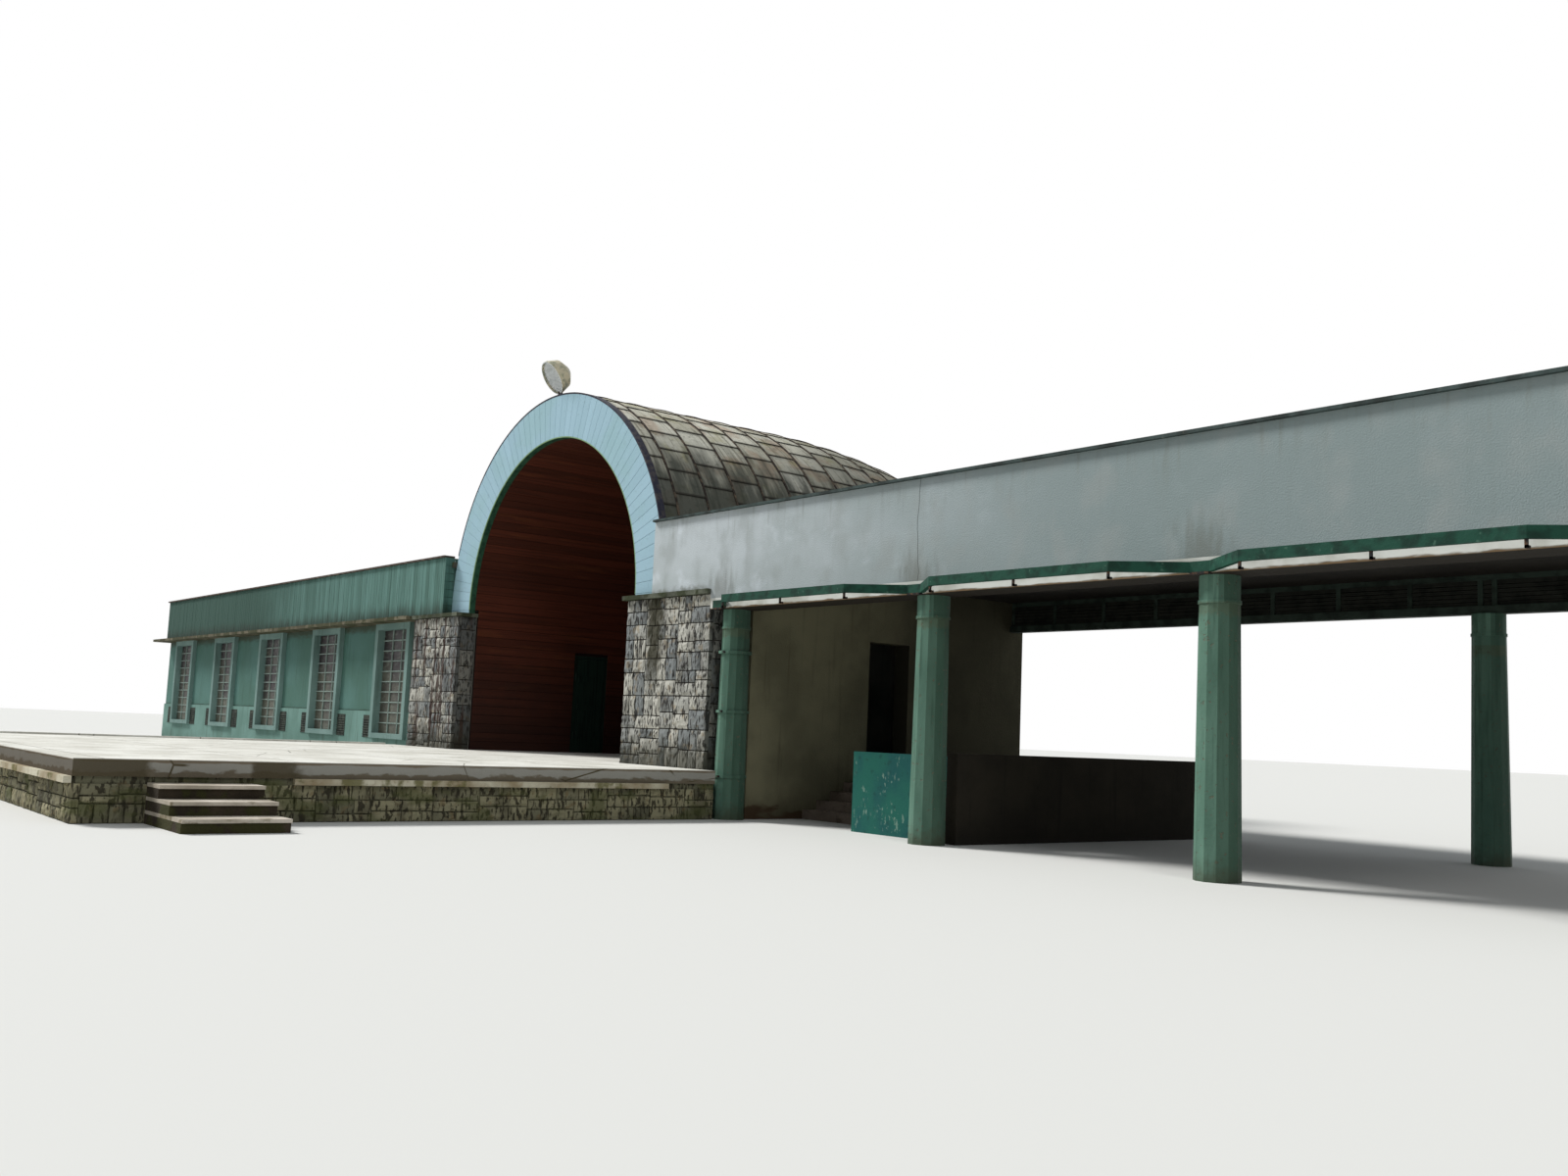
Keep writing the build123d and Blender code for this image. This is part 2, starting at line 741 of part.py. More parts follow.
with BuildPart() as rear_frame:
    post_y = (rear_row - mullion_depth / 2, rear_row + mullion_depth / 2)
    beam_y = (rear_row - rear_beam_width / 2, rear_row + rear_beam_width / 2)
    block(row_x, beam_y, (rear_beam_bottom, rear_beam_top))
    block(row_x, post_y, (top_rail_bottom, ceiling_height))
    for x in post_spots:
        post_x = (x - mullion_width / 2, x + mullion_width / 2)
        block(post_x, post_y, (rear_beam_top, top_rail_bottom))
keep(rear_frame, "rear_frame")

with BuildPart() as rear_panels:
    panel_y = (rear_row - panel_thickness / 2, rear_row + panel_thickness / 2)
    block(row_x, panel_y, (rear_beam_top, top_rail_bottom))
    add(rear_frame.part, mode=Mode.SUBTRACT)
keep(rear_panels, "rear_panels")

# Side room beside the shell, with an open doorway onto the terrace
with BuildPart() as side_room_walls:
    room_z = (0, ceiling_height)
    block((ring_outer_radius, right_pier_end), (pier_back, room_front), room_z)
    block((right_pier_end, side_wall_face), (side_wall_front, wing_depth), room_z)
    block((0, right_pier_end), (rear_wall_front, wing_depth), room_z)
    add(shell_body, mode=Mode.SUBTRACT)
    doorway_y = (side_door_front, side_door_front + side_door_width)
    block((right_pier_end, side_wall_face), doorway_y, (stage_height, side_door_top), Mode.SUBTRACT)
keep(side_room_walls, "side_room_walls")

# Terrace behind the first bay, reached by steps along the side room wall
step_flight_back = terrace_step_front + terrace_step_count * terrace_step_going
terrace_rise = stage_height / (terrace_step_count + 1)
with BuildPart() as terrace_floor:
    terrace_back = rear_row - column_base_radius
    block((side_wall_face, terrace_wall_near), (step_flight_back, terrace_back), (0, stage_height))
    panel_back = terrace_panel_front + terrace_panel_thickness
    block((terrace_panel_left, terrace_wall_near), (panel_back, step_flight_back), (0, stage_height))
keep(terrace_floor, "terrace_floor")

with BuildPart() as terrace_steps:
    for i in range(terrace_step_count):
        riser = terrace_step_front + i * terrace_step_going
        block((side_wall_face, terrace_panel_left), (riser, step_flight_back), (0, (i + 1) * terrace_rise))
keep(terrace_steps, "terrace_steps")

panel_x = (terrace_panel_left, terrace_wall_near)
with BuildPart() as terrace_panel:
    block(panel_x, (terrace_panel_front, panel_back), (0, terrace_panel_top))
keep(terrace_panel, "terrace_panel")

with BuildPart() as terrace_wall:
    block((terrace_wall_near, terrace_wall_face), (terrace_wall_front, terrace_back), (0, terrace_wall_top))
keep(terrace_wall, "terrace_wall")

os.makedirs("parts", exist_ok=True)
for piece in parts:
    export_step(piece, f"parts/{piece.label}.step")
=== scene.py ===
import math
import random

import bmesh
import bpy
from mathutils import Matrix, Vector, noise


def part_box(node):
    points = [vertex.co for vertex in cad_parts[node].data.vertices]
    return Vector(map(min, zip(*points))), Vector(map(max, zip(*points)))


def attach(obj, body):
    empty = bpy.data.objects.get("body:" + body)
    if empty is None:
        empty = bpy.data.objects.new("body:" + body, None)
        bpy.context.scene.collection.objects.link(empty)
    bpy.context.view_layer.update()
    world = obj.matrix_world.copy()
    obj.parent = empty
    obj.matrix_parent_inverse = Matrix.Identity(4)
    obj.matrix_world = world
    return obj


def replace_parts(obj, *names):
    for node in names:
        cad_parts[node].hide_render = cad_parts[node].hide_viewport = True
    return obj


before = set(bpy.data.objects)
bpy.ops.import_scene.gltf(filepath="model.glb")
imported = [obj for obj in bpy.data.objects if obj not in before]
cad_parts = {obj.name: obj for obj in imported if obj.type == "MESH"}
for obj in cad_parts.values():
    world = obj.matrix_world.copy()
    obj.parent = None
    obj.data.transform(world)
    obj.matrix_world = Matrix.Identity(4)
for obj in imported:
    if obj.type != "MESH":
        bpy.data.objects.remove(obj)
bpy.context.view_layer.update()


# The view: the camera stands on the forecourt to the right of the stage, at the eye height of the
# half-size model, and looks along the front towards the arch. The lens is the photograph's own.
view_turn = -0.8954
view_tilt = 0.1052
view_roll = 0.043
view_place = (12.0887, -6.7094, 0.7084)

camera = bpy.data.objects.new("camera", bpy.data.cameras.new("camera"))
bpy.context.collection.objects.link(camera)
camera.data.sensor_width = 36
camera.data.lens = 31.51
camera.data.clip_end = 400
camera.matrix_world = (
    Matrix.Translation(view_place)
    @ Matrix.Rotation(-view_turn, 4, "Z")
    @ Matrix.Rotation(math.pi / 2 + view_tilt, 4, "X")
    @ Matrix.Rotation(view_roll, 4, "Z")
)
bpy.context.scene.camera = camera
bpy.context.scene.view_settings.view_transform = "Standard"


# The studio: a pale even sky, a broad soft sun from the front left and a weak one from the right,
# over a wide pale floor. Camera, gloss and glass see the sky as plain white.
class Value:
    """A node's output as a number in shader maths: each operator adds a Math node."""

    def __init__(self, nodes, socket):
        self.nodes = nodes
        self.socket = socket

    def maths(self, operation, first, second):
        return self.nodes.node("ShaderNodeMath", {"operation": operation}, {0: first, 1: second})

    def __add__(self, other):
        return self.maths("ADD", self, other)

    def __sub__(self, other):
        return self.maths("SUBTRACT", self, other)

    def __rsub__(self, other):
        return self.maths("SUBTRACT", other, self)

    def __mul__(self, other):
        return self.maths("MULTIPLY", self, other)

    __radd__ = __add__
    __rmul__ = __mul__


class Nodes:
    """A node tree that makes its nodes and hands their outputs out as values."""

    def __init__(self, tree):
        self.tree = tree

    def join(self, value, socket):
        """Set a socket to a plain value, or link it to an output."""
        if isinstance(value, Value):
            self.tree.links.new(value.socket, socket)
        else:
            socket.default_value = value

    def node(self, kind, settings=None, inputs=None, output=0):
        """Make a node: its settings first, then the values or links of its sockets."""
        made = self.tree.nodes.new(kind)
        for name, setting in (settings or {}).items():
            setattr(made, name, setting)
        for key, value in (inputs or {}).items():
            self.join(value, made.inputs[key])
        return Value(self, made.outputs[output])


def srgb(red, green, blue):
    """A colour from 8-bit display values, as the linear one that a socket takes."""
    shares = [level / 255 for level in (red, green, blue)]
    linear = [s / 12.92 if s <= 0.04045 else ((s + 0.055) / 1.055) ** 2.4 for s in shares]
    return (*linear, 1)


class Finish(Nodes):
    """A material being made: its shader, its place on the object, and the mixes all finishes use."""

    def __init__(self, name):
        self.material = bpy.data.materials.new(name)
        self.material.use_nodes = True
        super().__init__(self.material.node_tree)
        self.shader = self.tree.nodes["Principled BSDF"]
        self.shader.inputs["Specular IOR Level"].default_value = 0.12
        self.place = self.node("ShaderNodeTexCoord", output="Object")

    def axis(self, name):
        """The object's own X, Y or Z at each point."""
        return self.node("ShaderNodeSeparateXYZ", inputs={0: self.place}, output=name)

    def facing(self, name):
        """The X, Y or Z of the way that the surface faces."""
        normal = self.node("ShaderNodeNewGeometry", output="True Normal")
        return self.node("ShaderNodeSeparateXYZ", inputs={0: normal}, output=name)

    def carried(self, name):
        """The number of this name that the points of the mesh carry."""
        return self.node("ShaderNodeAttribute", {"attribute_name": name}, output="Fac")

    def size_of(self, value):
        """A number without its sign."""
        return self.node("ShaderNodeMath", {"operation": "ABSOLUTE"}, {0: value})

    def noise(self, size, detail=4, shift=0):
        """A cloudy noise from 0 to 1, with features of this size along X, Y and Z, in metres."""
        sizes = size if isinstance(size, tuple) else (size, size, size)
        scale = tuple(1 / s for s in sizes)
        moved = self.node(
            "ShaderNodeMapping", inputs={"Vector": self.place, "Scale": scale, "Location": (shift,) * 3}
        )
        return self.node("ShaderNodeTexNoise", inputs={"Vector": moved, "Scale": 1, "Detail": detail})

    def rise(self, value, low, high):
        """0 under low and 1 over high, with a smooth rise between; it falls if low is above high."""
        inputs = {"Value": value, "From Min": low, "From Max": high}
        return self.node("ShaderNodeMapRange", {"interpolation_type": "SMOOTHSTEP"}, inputs)

    def clouds(self, size, detail, low, high, shift=0):
        """Clouds with clear edges, from 0 where the noise is under low to 1 where it is over high."""
        return self.rise(self.noise(size, detail, shift), low, high)

    def ragged(self, value, size, detail, reach, low, high):
        """A rise over a value, with an edge that noise of this reach makes ragged."""
        return self.rise(value + self.noise(size, detail) * reach, low, high)

    def mix(self, share, first, second):
        """The first colour where share is 0, the second where it is 1."""
        inputs = {0: share, 6: first, 7: second}
        return self.node("ShaderNodeMix", {"data_type": "RGBA"}, inputs, output=2)

    def wear(self, colour, roughness, height=None, depth=0.004):
        """Set colour and roughness, and a bump from height with this depth in metres."""
        self.join(colour, self.shader.inputs["Base Color"])
        self.join(roughness, self.shader.inputs["Roughness"])
        if height is not None:
            inputs = {"Height": height, "Distance": depth}
            bump = self.node("ShaderNodeBump", inputs=inputs, output="Normal")
            self.join(bump, self.shader.inputs["Normal"])
        return self

    def stain(self, share, colour):
        """Lay one more colour over a share of the finish."""
        base = self.shader.inputs["Base Color"]
        self.join(self.mix(share, Value(self, base.links[0].from_socket), colour), base)

    def blots(self, cloud, share, colour):
        """Lay one more colour over the finish in clouds, up to a share."""
        self.stain(self.clouds(*cloud) * share, colour)


sky_colour = (0.86, 0.93, 1.0, 1)
sky_light = 0.36
sun_light = 3.7
sun_softness = 0.25
floor_reach = 120

world = bpy.data.worlds.new("sky")
world.use_nodes = True
bpy.context.scene.world = world
sky = Nodes(world.node_tree)
seen = sky.node("ShaderNodeLightPath", output="Is Camera Ray")
seen = seen + sky.node("ShaderNodeLightPath", output="Is Glossy Ray")
seen = seen + sky.node("ShaderNodeLightPath", output="Is Transmission Ray")
even_sky = sky.node("ShaderNodeBackground", inputs={"Color": sky_colour, "Strength": sky_light})
white_sky = sky.node("ShaderNodeBackground", inputs={"Color": (1, 1, 1, 1), "Strength": 1})
whole_sky = sky.node("ShaderNodeMixShader", inputs={0: seen, 1: even_sky, 2: white_sky})
sky.join(whole_sky, world.node_tree.nodes["World Output"].inputs["Surface"])

for lamp_name, lamp_from, strength in (
    ("sun_left", (-0.9, -0.42, 0.95), sun_light),
    ("sun_right", (0.8, -0.3, 0.6), 0.1 * sun_light),
):
    lamp = bpy.data.objects.new(lamp_name, bpy.data.lights.new(lamp_name, "SUN"))
    lamp.data.energy = strength
    lamp.data.angle = sun_softness
    lamp.rotation_euler = Vector(lamp_from).to_track_quat("Z", "Y").to_euler()
    bpy.context.collection.objects.link(lamp)

ground = bmesh.new()
bmesh.ops.create_grid(ground, x_segments=1, y_segments=1, size=floor_reach)
floor_mesh = bpy.data.meshes.new("floor")
ground.to_mesh(floor_mesh)
ground.free()
floor = bpy.data.objects.new("floor", floor_mesh)
bpy.context.collection.objects.link(floor)
floor_finish = Finish("studio_floor")
floor_finish.wear(srgb(214, 213, 208), 0.9)
floor_mesh.materials.append(floor_finish.material)


# Shell piers: squared rubble of pale split limestone round a mortar core. The stones of each face
# are cut to random sizes and laid with dark open joints; rain has left moss and soot down them.
def dress(finish, *nodes):
    """Give CAD nodes a finish."""
    for name in nodes:
        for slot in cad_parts[name].material_slots:
            slot.material = finish.material


def put(bm, name, finish, body="building"):
    """Turn a finished bmesh into a piece of the building, in its finish."""
    bmesh.ops.recalc_face_normals(bm, faces=bm.faces)
    mesh = bpy.data.meshes.new(name)
    bm.to_mesh(mesh)
    bm.free()
    mesh.materials.append(finish.material)
    piece = bpy.data.objects.new(name, mesh)
    bpy.context.collection.objects.link(piece)
    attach(piece, body)
    return piece


def new_work():
    """An empty bmesh whose points carry a tone, one for each stone, board or sheet."""
    bm = bmesh.new()
    bm.verts.layers.float.new("tone")
    return bm


def toned(bm, verts, tone):
    for vert in verts:
        vert[bm.verts.layers.float["tone"]] = tone


def block(bm, low, high, tone=0.5):
    """A plain block between two corners."""
    low, high = Vector(low), Vector(high)
    fit = Matrix.Translation((low + high) / 2) @ Matrix.Diagonal((*(high - low), 1))
    verts = bmesh.ops.create_cube(bm, size=1, matrix=fit)["verts"]
    toned(bm, verts, tone)
    return verts


def on_face(corner, outward):
    """The plane of a wall face: X along it, Y up, Z outwards, from its lower left corner."""
    up, out = Vector((0, 0, 1)), Vector(outward)
    turn = Matrix((up.cross(out), up, out)).transposed().to_4x4()
    return Matrix.Translation(corner) @ turn


def split_face(width, height, largest, chance):
    """Rectangles that fill a face, from cutting it at random; some are cut again into upright slips."""
    waiting, stones = [(0, 0, width, height)], []
    while waiting:
        left, bottom, right, top = waiting.pop()
        wide, high = (right - left) / largest[0], (top - bottom) / largest[1]
        cut = chance.uniform(0.36, 0.64)
        if wide <= 1 and high <= 1:
            slips = chance.choice((1, 1, 1, 2, 2, 3)) if wide > 0.6 else 1
            slip = (right - left) / slips
            for i in range(slips):
                stones.append((left + i * slip, bottom, left + (i + 1) * slip, top))
        elif wide > high:
            middle = left + cut * (right - left)
            waiting += [(left, bottom, middle, top), (middle, bottom, right, top)]
        else:
            middle = bottom + cut * (top - bottom)
            waiting += [(left, bottom, right, middle), (left, middle, right, top)]
    return stones


stone_joint = 0.009
stone_depth = 0.05
stone_relief = 0.012


def lay_stones(bm, plane, width, height, largest, chance):
    """Rough-faced stones over one face of a wall, each with its own tone and its own relief."""
    for left, bottom, right, top in split_face(width, height, largest, chance):
        half_width, half_height = (right - left - stone_joint) / 2, (top - bottom - stone_joint) / 2
        middle = Matrix.Translation(((left + right) / 2, (bottom + top) / 2, -stone_depth))
        fit = middle @ Matrix.Diagonal((half_width, half_height, 1, 1))
        back = bmesh.ops.create_grid(bm, x_segments=4, y_segments=4, size=1)["verts"]
        faces = list({face for vert in back for face in vert.link_faces})
        grown = bmesh.ops.extrude_face_region(bm, geom=faces)["geom"]
        front = [item for item in grown if isinstance(item, bmesh.types.BMVert)]
        seed = Vector((chance.uniform(0, 90), chance.uniform(0, 90), 0))
        tilt = chance.uniform(-0.3, 0.3), chance.uniform(-0.3, 0.3)
        for vert in front:
            edge = max(abs(vert.co.x), abs(vert.co.y))
            rough = noise.noise(seed + vert.co * 1.7) + tilt[0] * vert.co.x + tilt[1] * vert.co.y
            vert.co.z = stone_depth + stone_relief * (0.6 * rough - (0.7 if edge > 0.9 else 0.1))
            vert.co.x += 0.05 * noise.noise(seed + vert.co * 2)
            vert.co.y += 0.05 * noise.noise(seed - vert.co * 2)
        toned(bm, back + front, chance.random())
        bmesh.ops.transform(bm, matrix=plane @ fit, verts=back + front)


def face_with_stones(bm, left, right, front, back, height, front_stone, side_stone, chance):
    """Stones over the front and both sides of masonry that stands on the ground."""
    side = back - front - stone_depth
    facing_front = on_face((left, front, 0), (0, -1, 0))
    lay_stones(bm, facing_front, right - left, height, front_stone, chance)
    facing_right = on_face((right, front + stone_depth, 0), (1, 0, 0))
    lay_stones(bm, facing_right, side, height, side_stone, chance)
    facing_left = on_face((left, back, 0), (-1, 0, 0))
    lay_stones(bm, facing_left, side, height, side_stone, chance)


class Rubble(Finish):
    """Split stone: a tone for each stone, ochre stains, dark upright chisel marks and grime."""

    def __init__(self, name, pale, grey, ochre, dark):
        super().__init__(name)
        marks = self.noise((0.024, 0.024, 0.08), 5)
        body = self.mix(self.rise(self.carried("tone"), 0.25, 0.95), pale, grey)
        self.wear(body, 0.93, marks + self.noise(0.01, 5) * 0.5, 0.006)
        self.blots((0.07, 4, 0.56, 0.68, 6), 0.5, ochre)
        self.blots(((0.13, 0.13, 0.26), 5, 0.5, 0.66, 9), 0.5, dark)
        self.stain(self.rise(marks, 0.51, 0.59) * 0.9, dark)


def two_tone(name, first, second, cloud, roughness, bump=None, depth=0.002):
    """A finish of two colours, which blend by the tone of each board where cloud is "tone". Otherwise
    cloud and bump give a size and a detail, and cloud may give the two levels of its edges as well."""
    finish = Finish(name)
    if cloud == "tone":
        share = finish.carried(cloud)
    else:
        share = finish.noise(*cloud) if len(cloud) == 2 else finish.clouds(*cloud)
    height = finish.noise(*bump) if bump else None
    return finish.wear(finish.mix(share, first, second), roughness, height, depth)


pier_low, pier_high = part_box("shell_piers")
pier_inner = 1.7
pier_stone = (0.3, 0.2)
pier_side_stone = (0.34, 0.26)
mortar_inset = 0.016
streak_middle = 2.15

pier_finish = Rubble(
    "split_stone", srgb(184, 182, 172), srgb(126, 130, 130), srgb(140, 120, 88), srgb(46, 44, 42)
)
pier_x, pier_z = pier_finish.axis("X"), pier_finish.axis("Z")
# Faces that look along X, the piers' sides, are painted darker as shade.
painted_shade_sides = pier_finish.size_of(pier_finish.facing("X"))
pier_finish.stain(pier_finish.rise(painted_shade_sides, 0.6, 0.9) * 0.65, srgb(50, 51, 48))
rust = pier_finish.clouds((0.085, 0.085, 1.6), 5, 0.5, 0.58, shift=1.9)
left_hand = pier_finish.rise(pier_x, 0.1, -0.1)
pier_finish.stain(rust * left_hand * 0.85, srgb(62, 44, 38))
from_streak = pier_finish.size_of(pier_x - streak_middle)
streak = pier_finish.ragged(from_streak, (0.06, 0.06, 0.14), 5, 0.24, 0.27, 0.18)
streak = streak * pier_finish.rise(pier_z, 0.95, 1.35)
pier_finish.stain(streak * 0.92, srgb(56, 54, 40))
pier_foot = pier_finish.ragged(pier_z, 0.12, 5, 0.3, 0.86, 0.56)
pier_finish.stain(pier_foot * 0.75, srgb(56, 56, 46))
mortar = two_tone("mortar", srgb(34, 31, 28), srgb(62, 58, 50), (0.04, 4), 0.95)

stones = new_work()
cores = new_work()
chance = random.Random(11)
front, back, height = pier_low.y, pier_high.y, pier_high.z
for left, right in ((pier_low.x, -pier_inner), (pier_inner, pier_high.x)):
    face_with_stones(stones, left, right, front, back, height, pier_stone, pier_side_stone, chance)
    core_corner = (left + mortar_inset, front + mortar_inset, 0)
    block(cores, core_corner, (right - mortar_inset, back, height))
pier_stones = put(stones, "pier_stones", pier_finish)
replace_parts(pier_stones, "shell_piers")
put(cores, "pier_mortar", mortar)


# Pier caps and wing ledge: thin cast slabs that have gone dark and mossy. The paler band under the
# stage's slab is the same old concrete.
def old_concrete(name, clean, dirty, moss, mossy):
    """Weathered concrete: cloudy, pitted, and mossy over the share of it that mossy gives."""
    concrete = Finish(name)
    growth = concrete.clouds(0.16, 5, 0.62 - 0.3 * mossy, 0.72 - 0.3 * mossy, shift=2.3)
    body = concrete.mix(concrete.clouds(0.35, 6, 0.35, 0.68), clean, dirty)
    concrete.wear(body, 0.92, concrete.noise(0.02, 6) + growth * 0.6, 0.006)
    concrete.blots((0.03, 4, 0.5, 0.8), 0.5, dirty)
    concrete.stain(growth * 0.85, moss)
    return concrete


cap_finish = old_concrete("cap_concrete", srgb(96, 100, 86), srgb(66, 68, 58), srgb(52, 58, 38), 0.6)
dress(cap_finish, "pier_caps")
ledge_finish = old_concrete(
    "ledge_concrete", srgb(112, 106, 88), srgb(74, 70, 54), srgb(58, 60, 38), 0.6
)
dress(ledge_finish, "left_ledge")
band_finish = old_concrete(
    "band_concrete", srgb(206, 200, 178), srgb(142, 124, 94), srgb(104, 100, 60), 0.25
)
dress(band_finish, "stage_ledge")


# Stage: a filled base of dark rubble, a mossy band and a cast slab on it, with a low kerb along the
# left and three steps up from the forecourt. The slab was cast in bays and is cracked and dusty.
stage_low, stage_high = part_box("stage_base")
stage_top = 0.385
band_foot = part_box("stage_ledge")[0].z
steps_middle = sum(corner.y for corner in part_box("stage_steps")) / 2
slab_bay = (1.575, 1.168)
slab_joint = 0.006
base_stone = (0.36, 0.12)
base_core_inset = 0.02

slab = Finish("stage_concrete")
slab_joints = slab.node(
    "ShaderNodeTexBrick",
    {"offset": 0},
    {
        "Vector": slab.place,
        "Scale": 1,
        "Mortar Size": slab_joint,
        "Brick Width": slab_bay[0],
        "Row Height": slab_bay[1],
    },
    output="Fac",
)
slab_cracks = slab.node(
    "ShaderNodeTexVoronoi",
    {"feature": "DISTANCE_TO_EDGE"},
    {"Vector": slab.place, "Scale": 0.9},
    output="Distance",
)
slab_lines = slab_joints + slab.rise(slab_cracks, 0.006, 0.001) * slab.clouds(0.5, 2, 0.45, 0.6)
slab_y, slab_z = slab.axis("Y"), slab.axis("Z")
slab_edge = slab.rise(slab_z, stage_top - 0.003, stage_top - 0.009)
slab_lip = slab.ragged(slab_z, (0.2, 0.2, 0.04), 5, 0.03, stage_top - 0.005, stage_top + 0.001)
slab_foot = slab.ragged(slab_z, (0.12, 0.12, 0.05), 5, 0.09, stage_top - 0.019, stage_top - 0.035)
from_steps = slab.size_of(slab_y - steps_middle)
mossy_end = slab.ragged(slab_y, 0.08, 4, 0.3, -3.3, -3.45)
mossy_end = mossy_end * slab.ragged(from_steps, 0.04, 3, 0.06, 0.31, 0.36)
slab_body = slab.mix(slab.clouds(0.45, 6, 0.3, 0.7), srgb(228, 226, 217), srgb(200, 197, 186))
slab.wear(slab_body, 0.9, slab.noise(0.015, 5) - slab_lines, 0.003)
slab.blots((0.05, 4, 0.52, 0.75), 0.4, srgb(158, 152, 138))
# The slab's vertical edge is painted whiter than its top, as a painted highlight on the edge.
slab.stain(slab_edge * 0.8, srgb(236, 237, 232))
slab.stain(slab_lip * slab_edge * 0.8, srgb(150, 122, 94))
slab.stain(slab_foot * 0.8, srgb(112, 92, 68))
slab.stain(mossy_end * slab_edge * 0.9, srgb(66, 56, 38))
slab.stain(slab_lines * 0.7, srgb(86, 78, 60))
dress(slab, "stage_slab", "stage_kerb", "shell_floor")

base_finish = Rubble(
    "base_stone", srgb(150, 144, 116), srgb(108, 106, 86), srgb(120, 98, 66), srgb(52, 48, 38)
)
base_damp = base_finish.clouds((0.3, 0.3, 0.16), 5, 0.5, 0.64, shift=3.7)
base_finish.stain(base_damp * 0.6, srgb(82, 86, 50))
base_stones = new_work()
chance = random.Random(5)
left, right, front, back = stage_low.x, stage_high.x, stage_low.y, stage_high.y
face_with_stones(base_stones, left, right, front, back, band_foot, base_stone, base_stone, chance)
core_corner = (left + base_core_inset, front + base_core_inset, 0)
block(base_stones, core_corner, (right - base_core_inset, back, stage_high.z), tone=1)
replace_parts(put(base_stones, "stage_base_stones", base_finish), "stage_base")

# The risers are painted dark brown as the shade that falls on them, darker than the pale treads.
risers_in_painted_shade = old_concrete("step_risers_painted_shade", srgb(74, 64, 52), srgb(48, 42, 34), srgb(60, 60, 34), 0.5)
treads = old_concrete("step_treads", srgb(208, 198, 184), srgb(166, 156, 140), srgb(116, 106, 80), 0.15)
dress(risers_in_painted_shade, "stage_steps")
dress(treads, "stage_treads")


# Arch ring: radial boards painted pale blue on a plate, under a dark metal flashing. A green trim
# lines the opening, and a thin bead of yellow-green paint shows along its front edge.
ring_low, ring_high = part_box("arch_ring")
spring_height = 1.895
ring_outer = ring_high.x
ring_inner = 1.665
ring_boards = 56
ring_board_gap = 0.0025
ring_board_proud = 0.008
ring_front = ring_low.y - ring_board_proud
bead_section = (0.009, 0.005)


def turned(angle):
    """A turn by this angle over the arch, about the shell's axis."""
    axis = Matrix.Translation((0, 0, spring_height))
    return axis @ Matrix.Rotation(-angle, 4, "Y") @ axis.inverted()


def over_arch(bm, geom, steps):
    """Carry a section over the arch, from one springing to the other."""
    centre, axis = (0, 0, spring_height), (0, -1, 0)
    bmesh.ops.spin(bm, geom=geom, cent=centre, axis=axis, angle=math.pi, steps=steps)


def ease(bm, offset):
    """Take the sharpness off every edge."""
    edges = bm.edges[:]
    bmesh.ops.bevel(bm, geom=edges, offset=offset, segments=1, affect="EDGES", profile=0.5, material=-1)


ring_paint = two_tone("ring_paint", srgb(160, 191, 205), srgb(153, 184, 197), "tone", 0.62, (0.02, 5))
ring_paint.blots((0.5, 4, 0.42, 0.64), 0.5, srgb(146, 181, 184))
ring_paint.blots((0.05, 6, 0.6, 0.74), 0.35, srgb(134, 158, 164))
ring_paint.blots((0.014, 3, 0.7, 0.78), 0.7, srgb(120, 116, 108))

ring_back = two_tone("ring_back", srgb(122, 142, 148), srgb(142, 164, 170), (0.03, 4), 0.8)
dress(ring_back, "arch_ring")

boards = new_work()
chance = random.Random(3)
across = 2 * ring_outer * math.sin(math.pi / ring_boards / 2)
for i in range(ring_boards):
    verts = block(
        boards,
        (ring_inner, ring_front, spring_height - across / 2),
        (ring_outer, ring_low.y, spring_height + across / 2),
        chance.random(),
    )
    for vert in verts:
        half = vert.co.x / ring_outer * across / 2 - ring_board_gap / 2
        vert.co.z = spring_height + math.copysign(half, vert.co.z - spring_height)
    middle = math.pi * (i + 0.5) / ring_boards
    bmesh.ops.transform(boards, matrix=turned(middle), verts=verts)
for side in (-1, 1):
    foot = sorted((side * ring_inner, side * ring_outer))
    block(
        boards,
        (foot[0], ring_front, ring_low.z),
        (foot[1], ring_low.y, spring_height - ring_board_gap / 2),
        chance.random(),
    )
ease(boards, 0.0015)
put(boards, "ring_boards", ring_paint)

flashing = two_tone(
    "dark_flashing", srgb(34, 36, 52), srgb(70, 66, 68), (0.05, 5, 0.4, 0.7), 0.55, (0.06, 3), 0.004
)
dress(flashing, "ring_flashing")
trim_green = two_tone(
    "trim_green", srgb(46, 82, 62), srgb(30, 58, 44), (0.05, 5, 0.4, 0.7), 0.6, (0.02, 4)
)
dress(trim_green, "ring_trim")

bead_paint = two_tone("bead_paint", srgb(142, 182, 146), srgb(120, 136, 82), (0.04, 4), 0.6)
bead = new_work()
bead_corner = (ring_inner - bead_section[0], ring_front, spring_height - bead_section[1])
block(bead, bead_corner, (ring_inner, ring_low.y, spring_height))
bmesh.ops.delete(bead, geom=[f for f in bead.faces if f.normal.z < 0.5], context="FACES_ONLY")
over_arch(bead, bead.faces[:] + [e for f in bead.faces for e in f.edges], 72)
put(bead, "ring_bead", bead_paint)


# Vault roof: old sheet panels lapped downwards and staggered from bay to bay, between dark standing
# seams at the ribs, on a tarred underlay. The sheets are stained and greener near the foot.
# Painted shade darkens them near the foot and towards the back, and dirt and painted shade darken
# their ends where they lap.
barrel_length = 2.28
rib_pitch = 0.355
first_rib = 0.15
taper_ribs = 7
taper_radius = 8.0
shell_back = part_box("vault_roof")[1].y
roof_panels = 24
sheet_lift = 0.003
sheet_lap = 0.008
sheet_gap = 0.004
sheet_thickness = 0.002
sheet_dents = 0.002
seam_width = 0.02
seam_height = 0.018


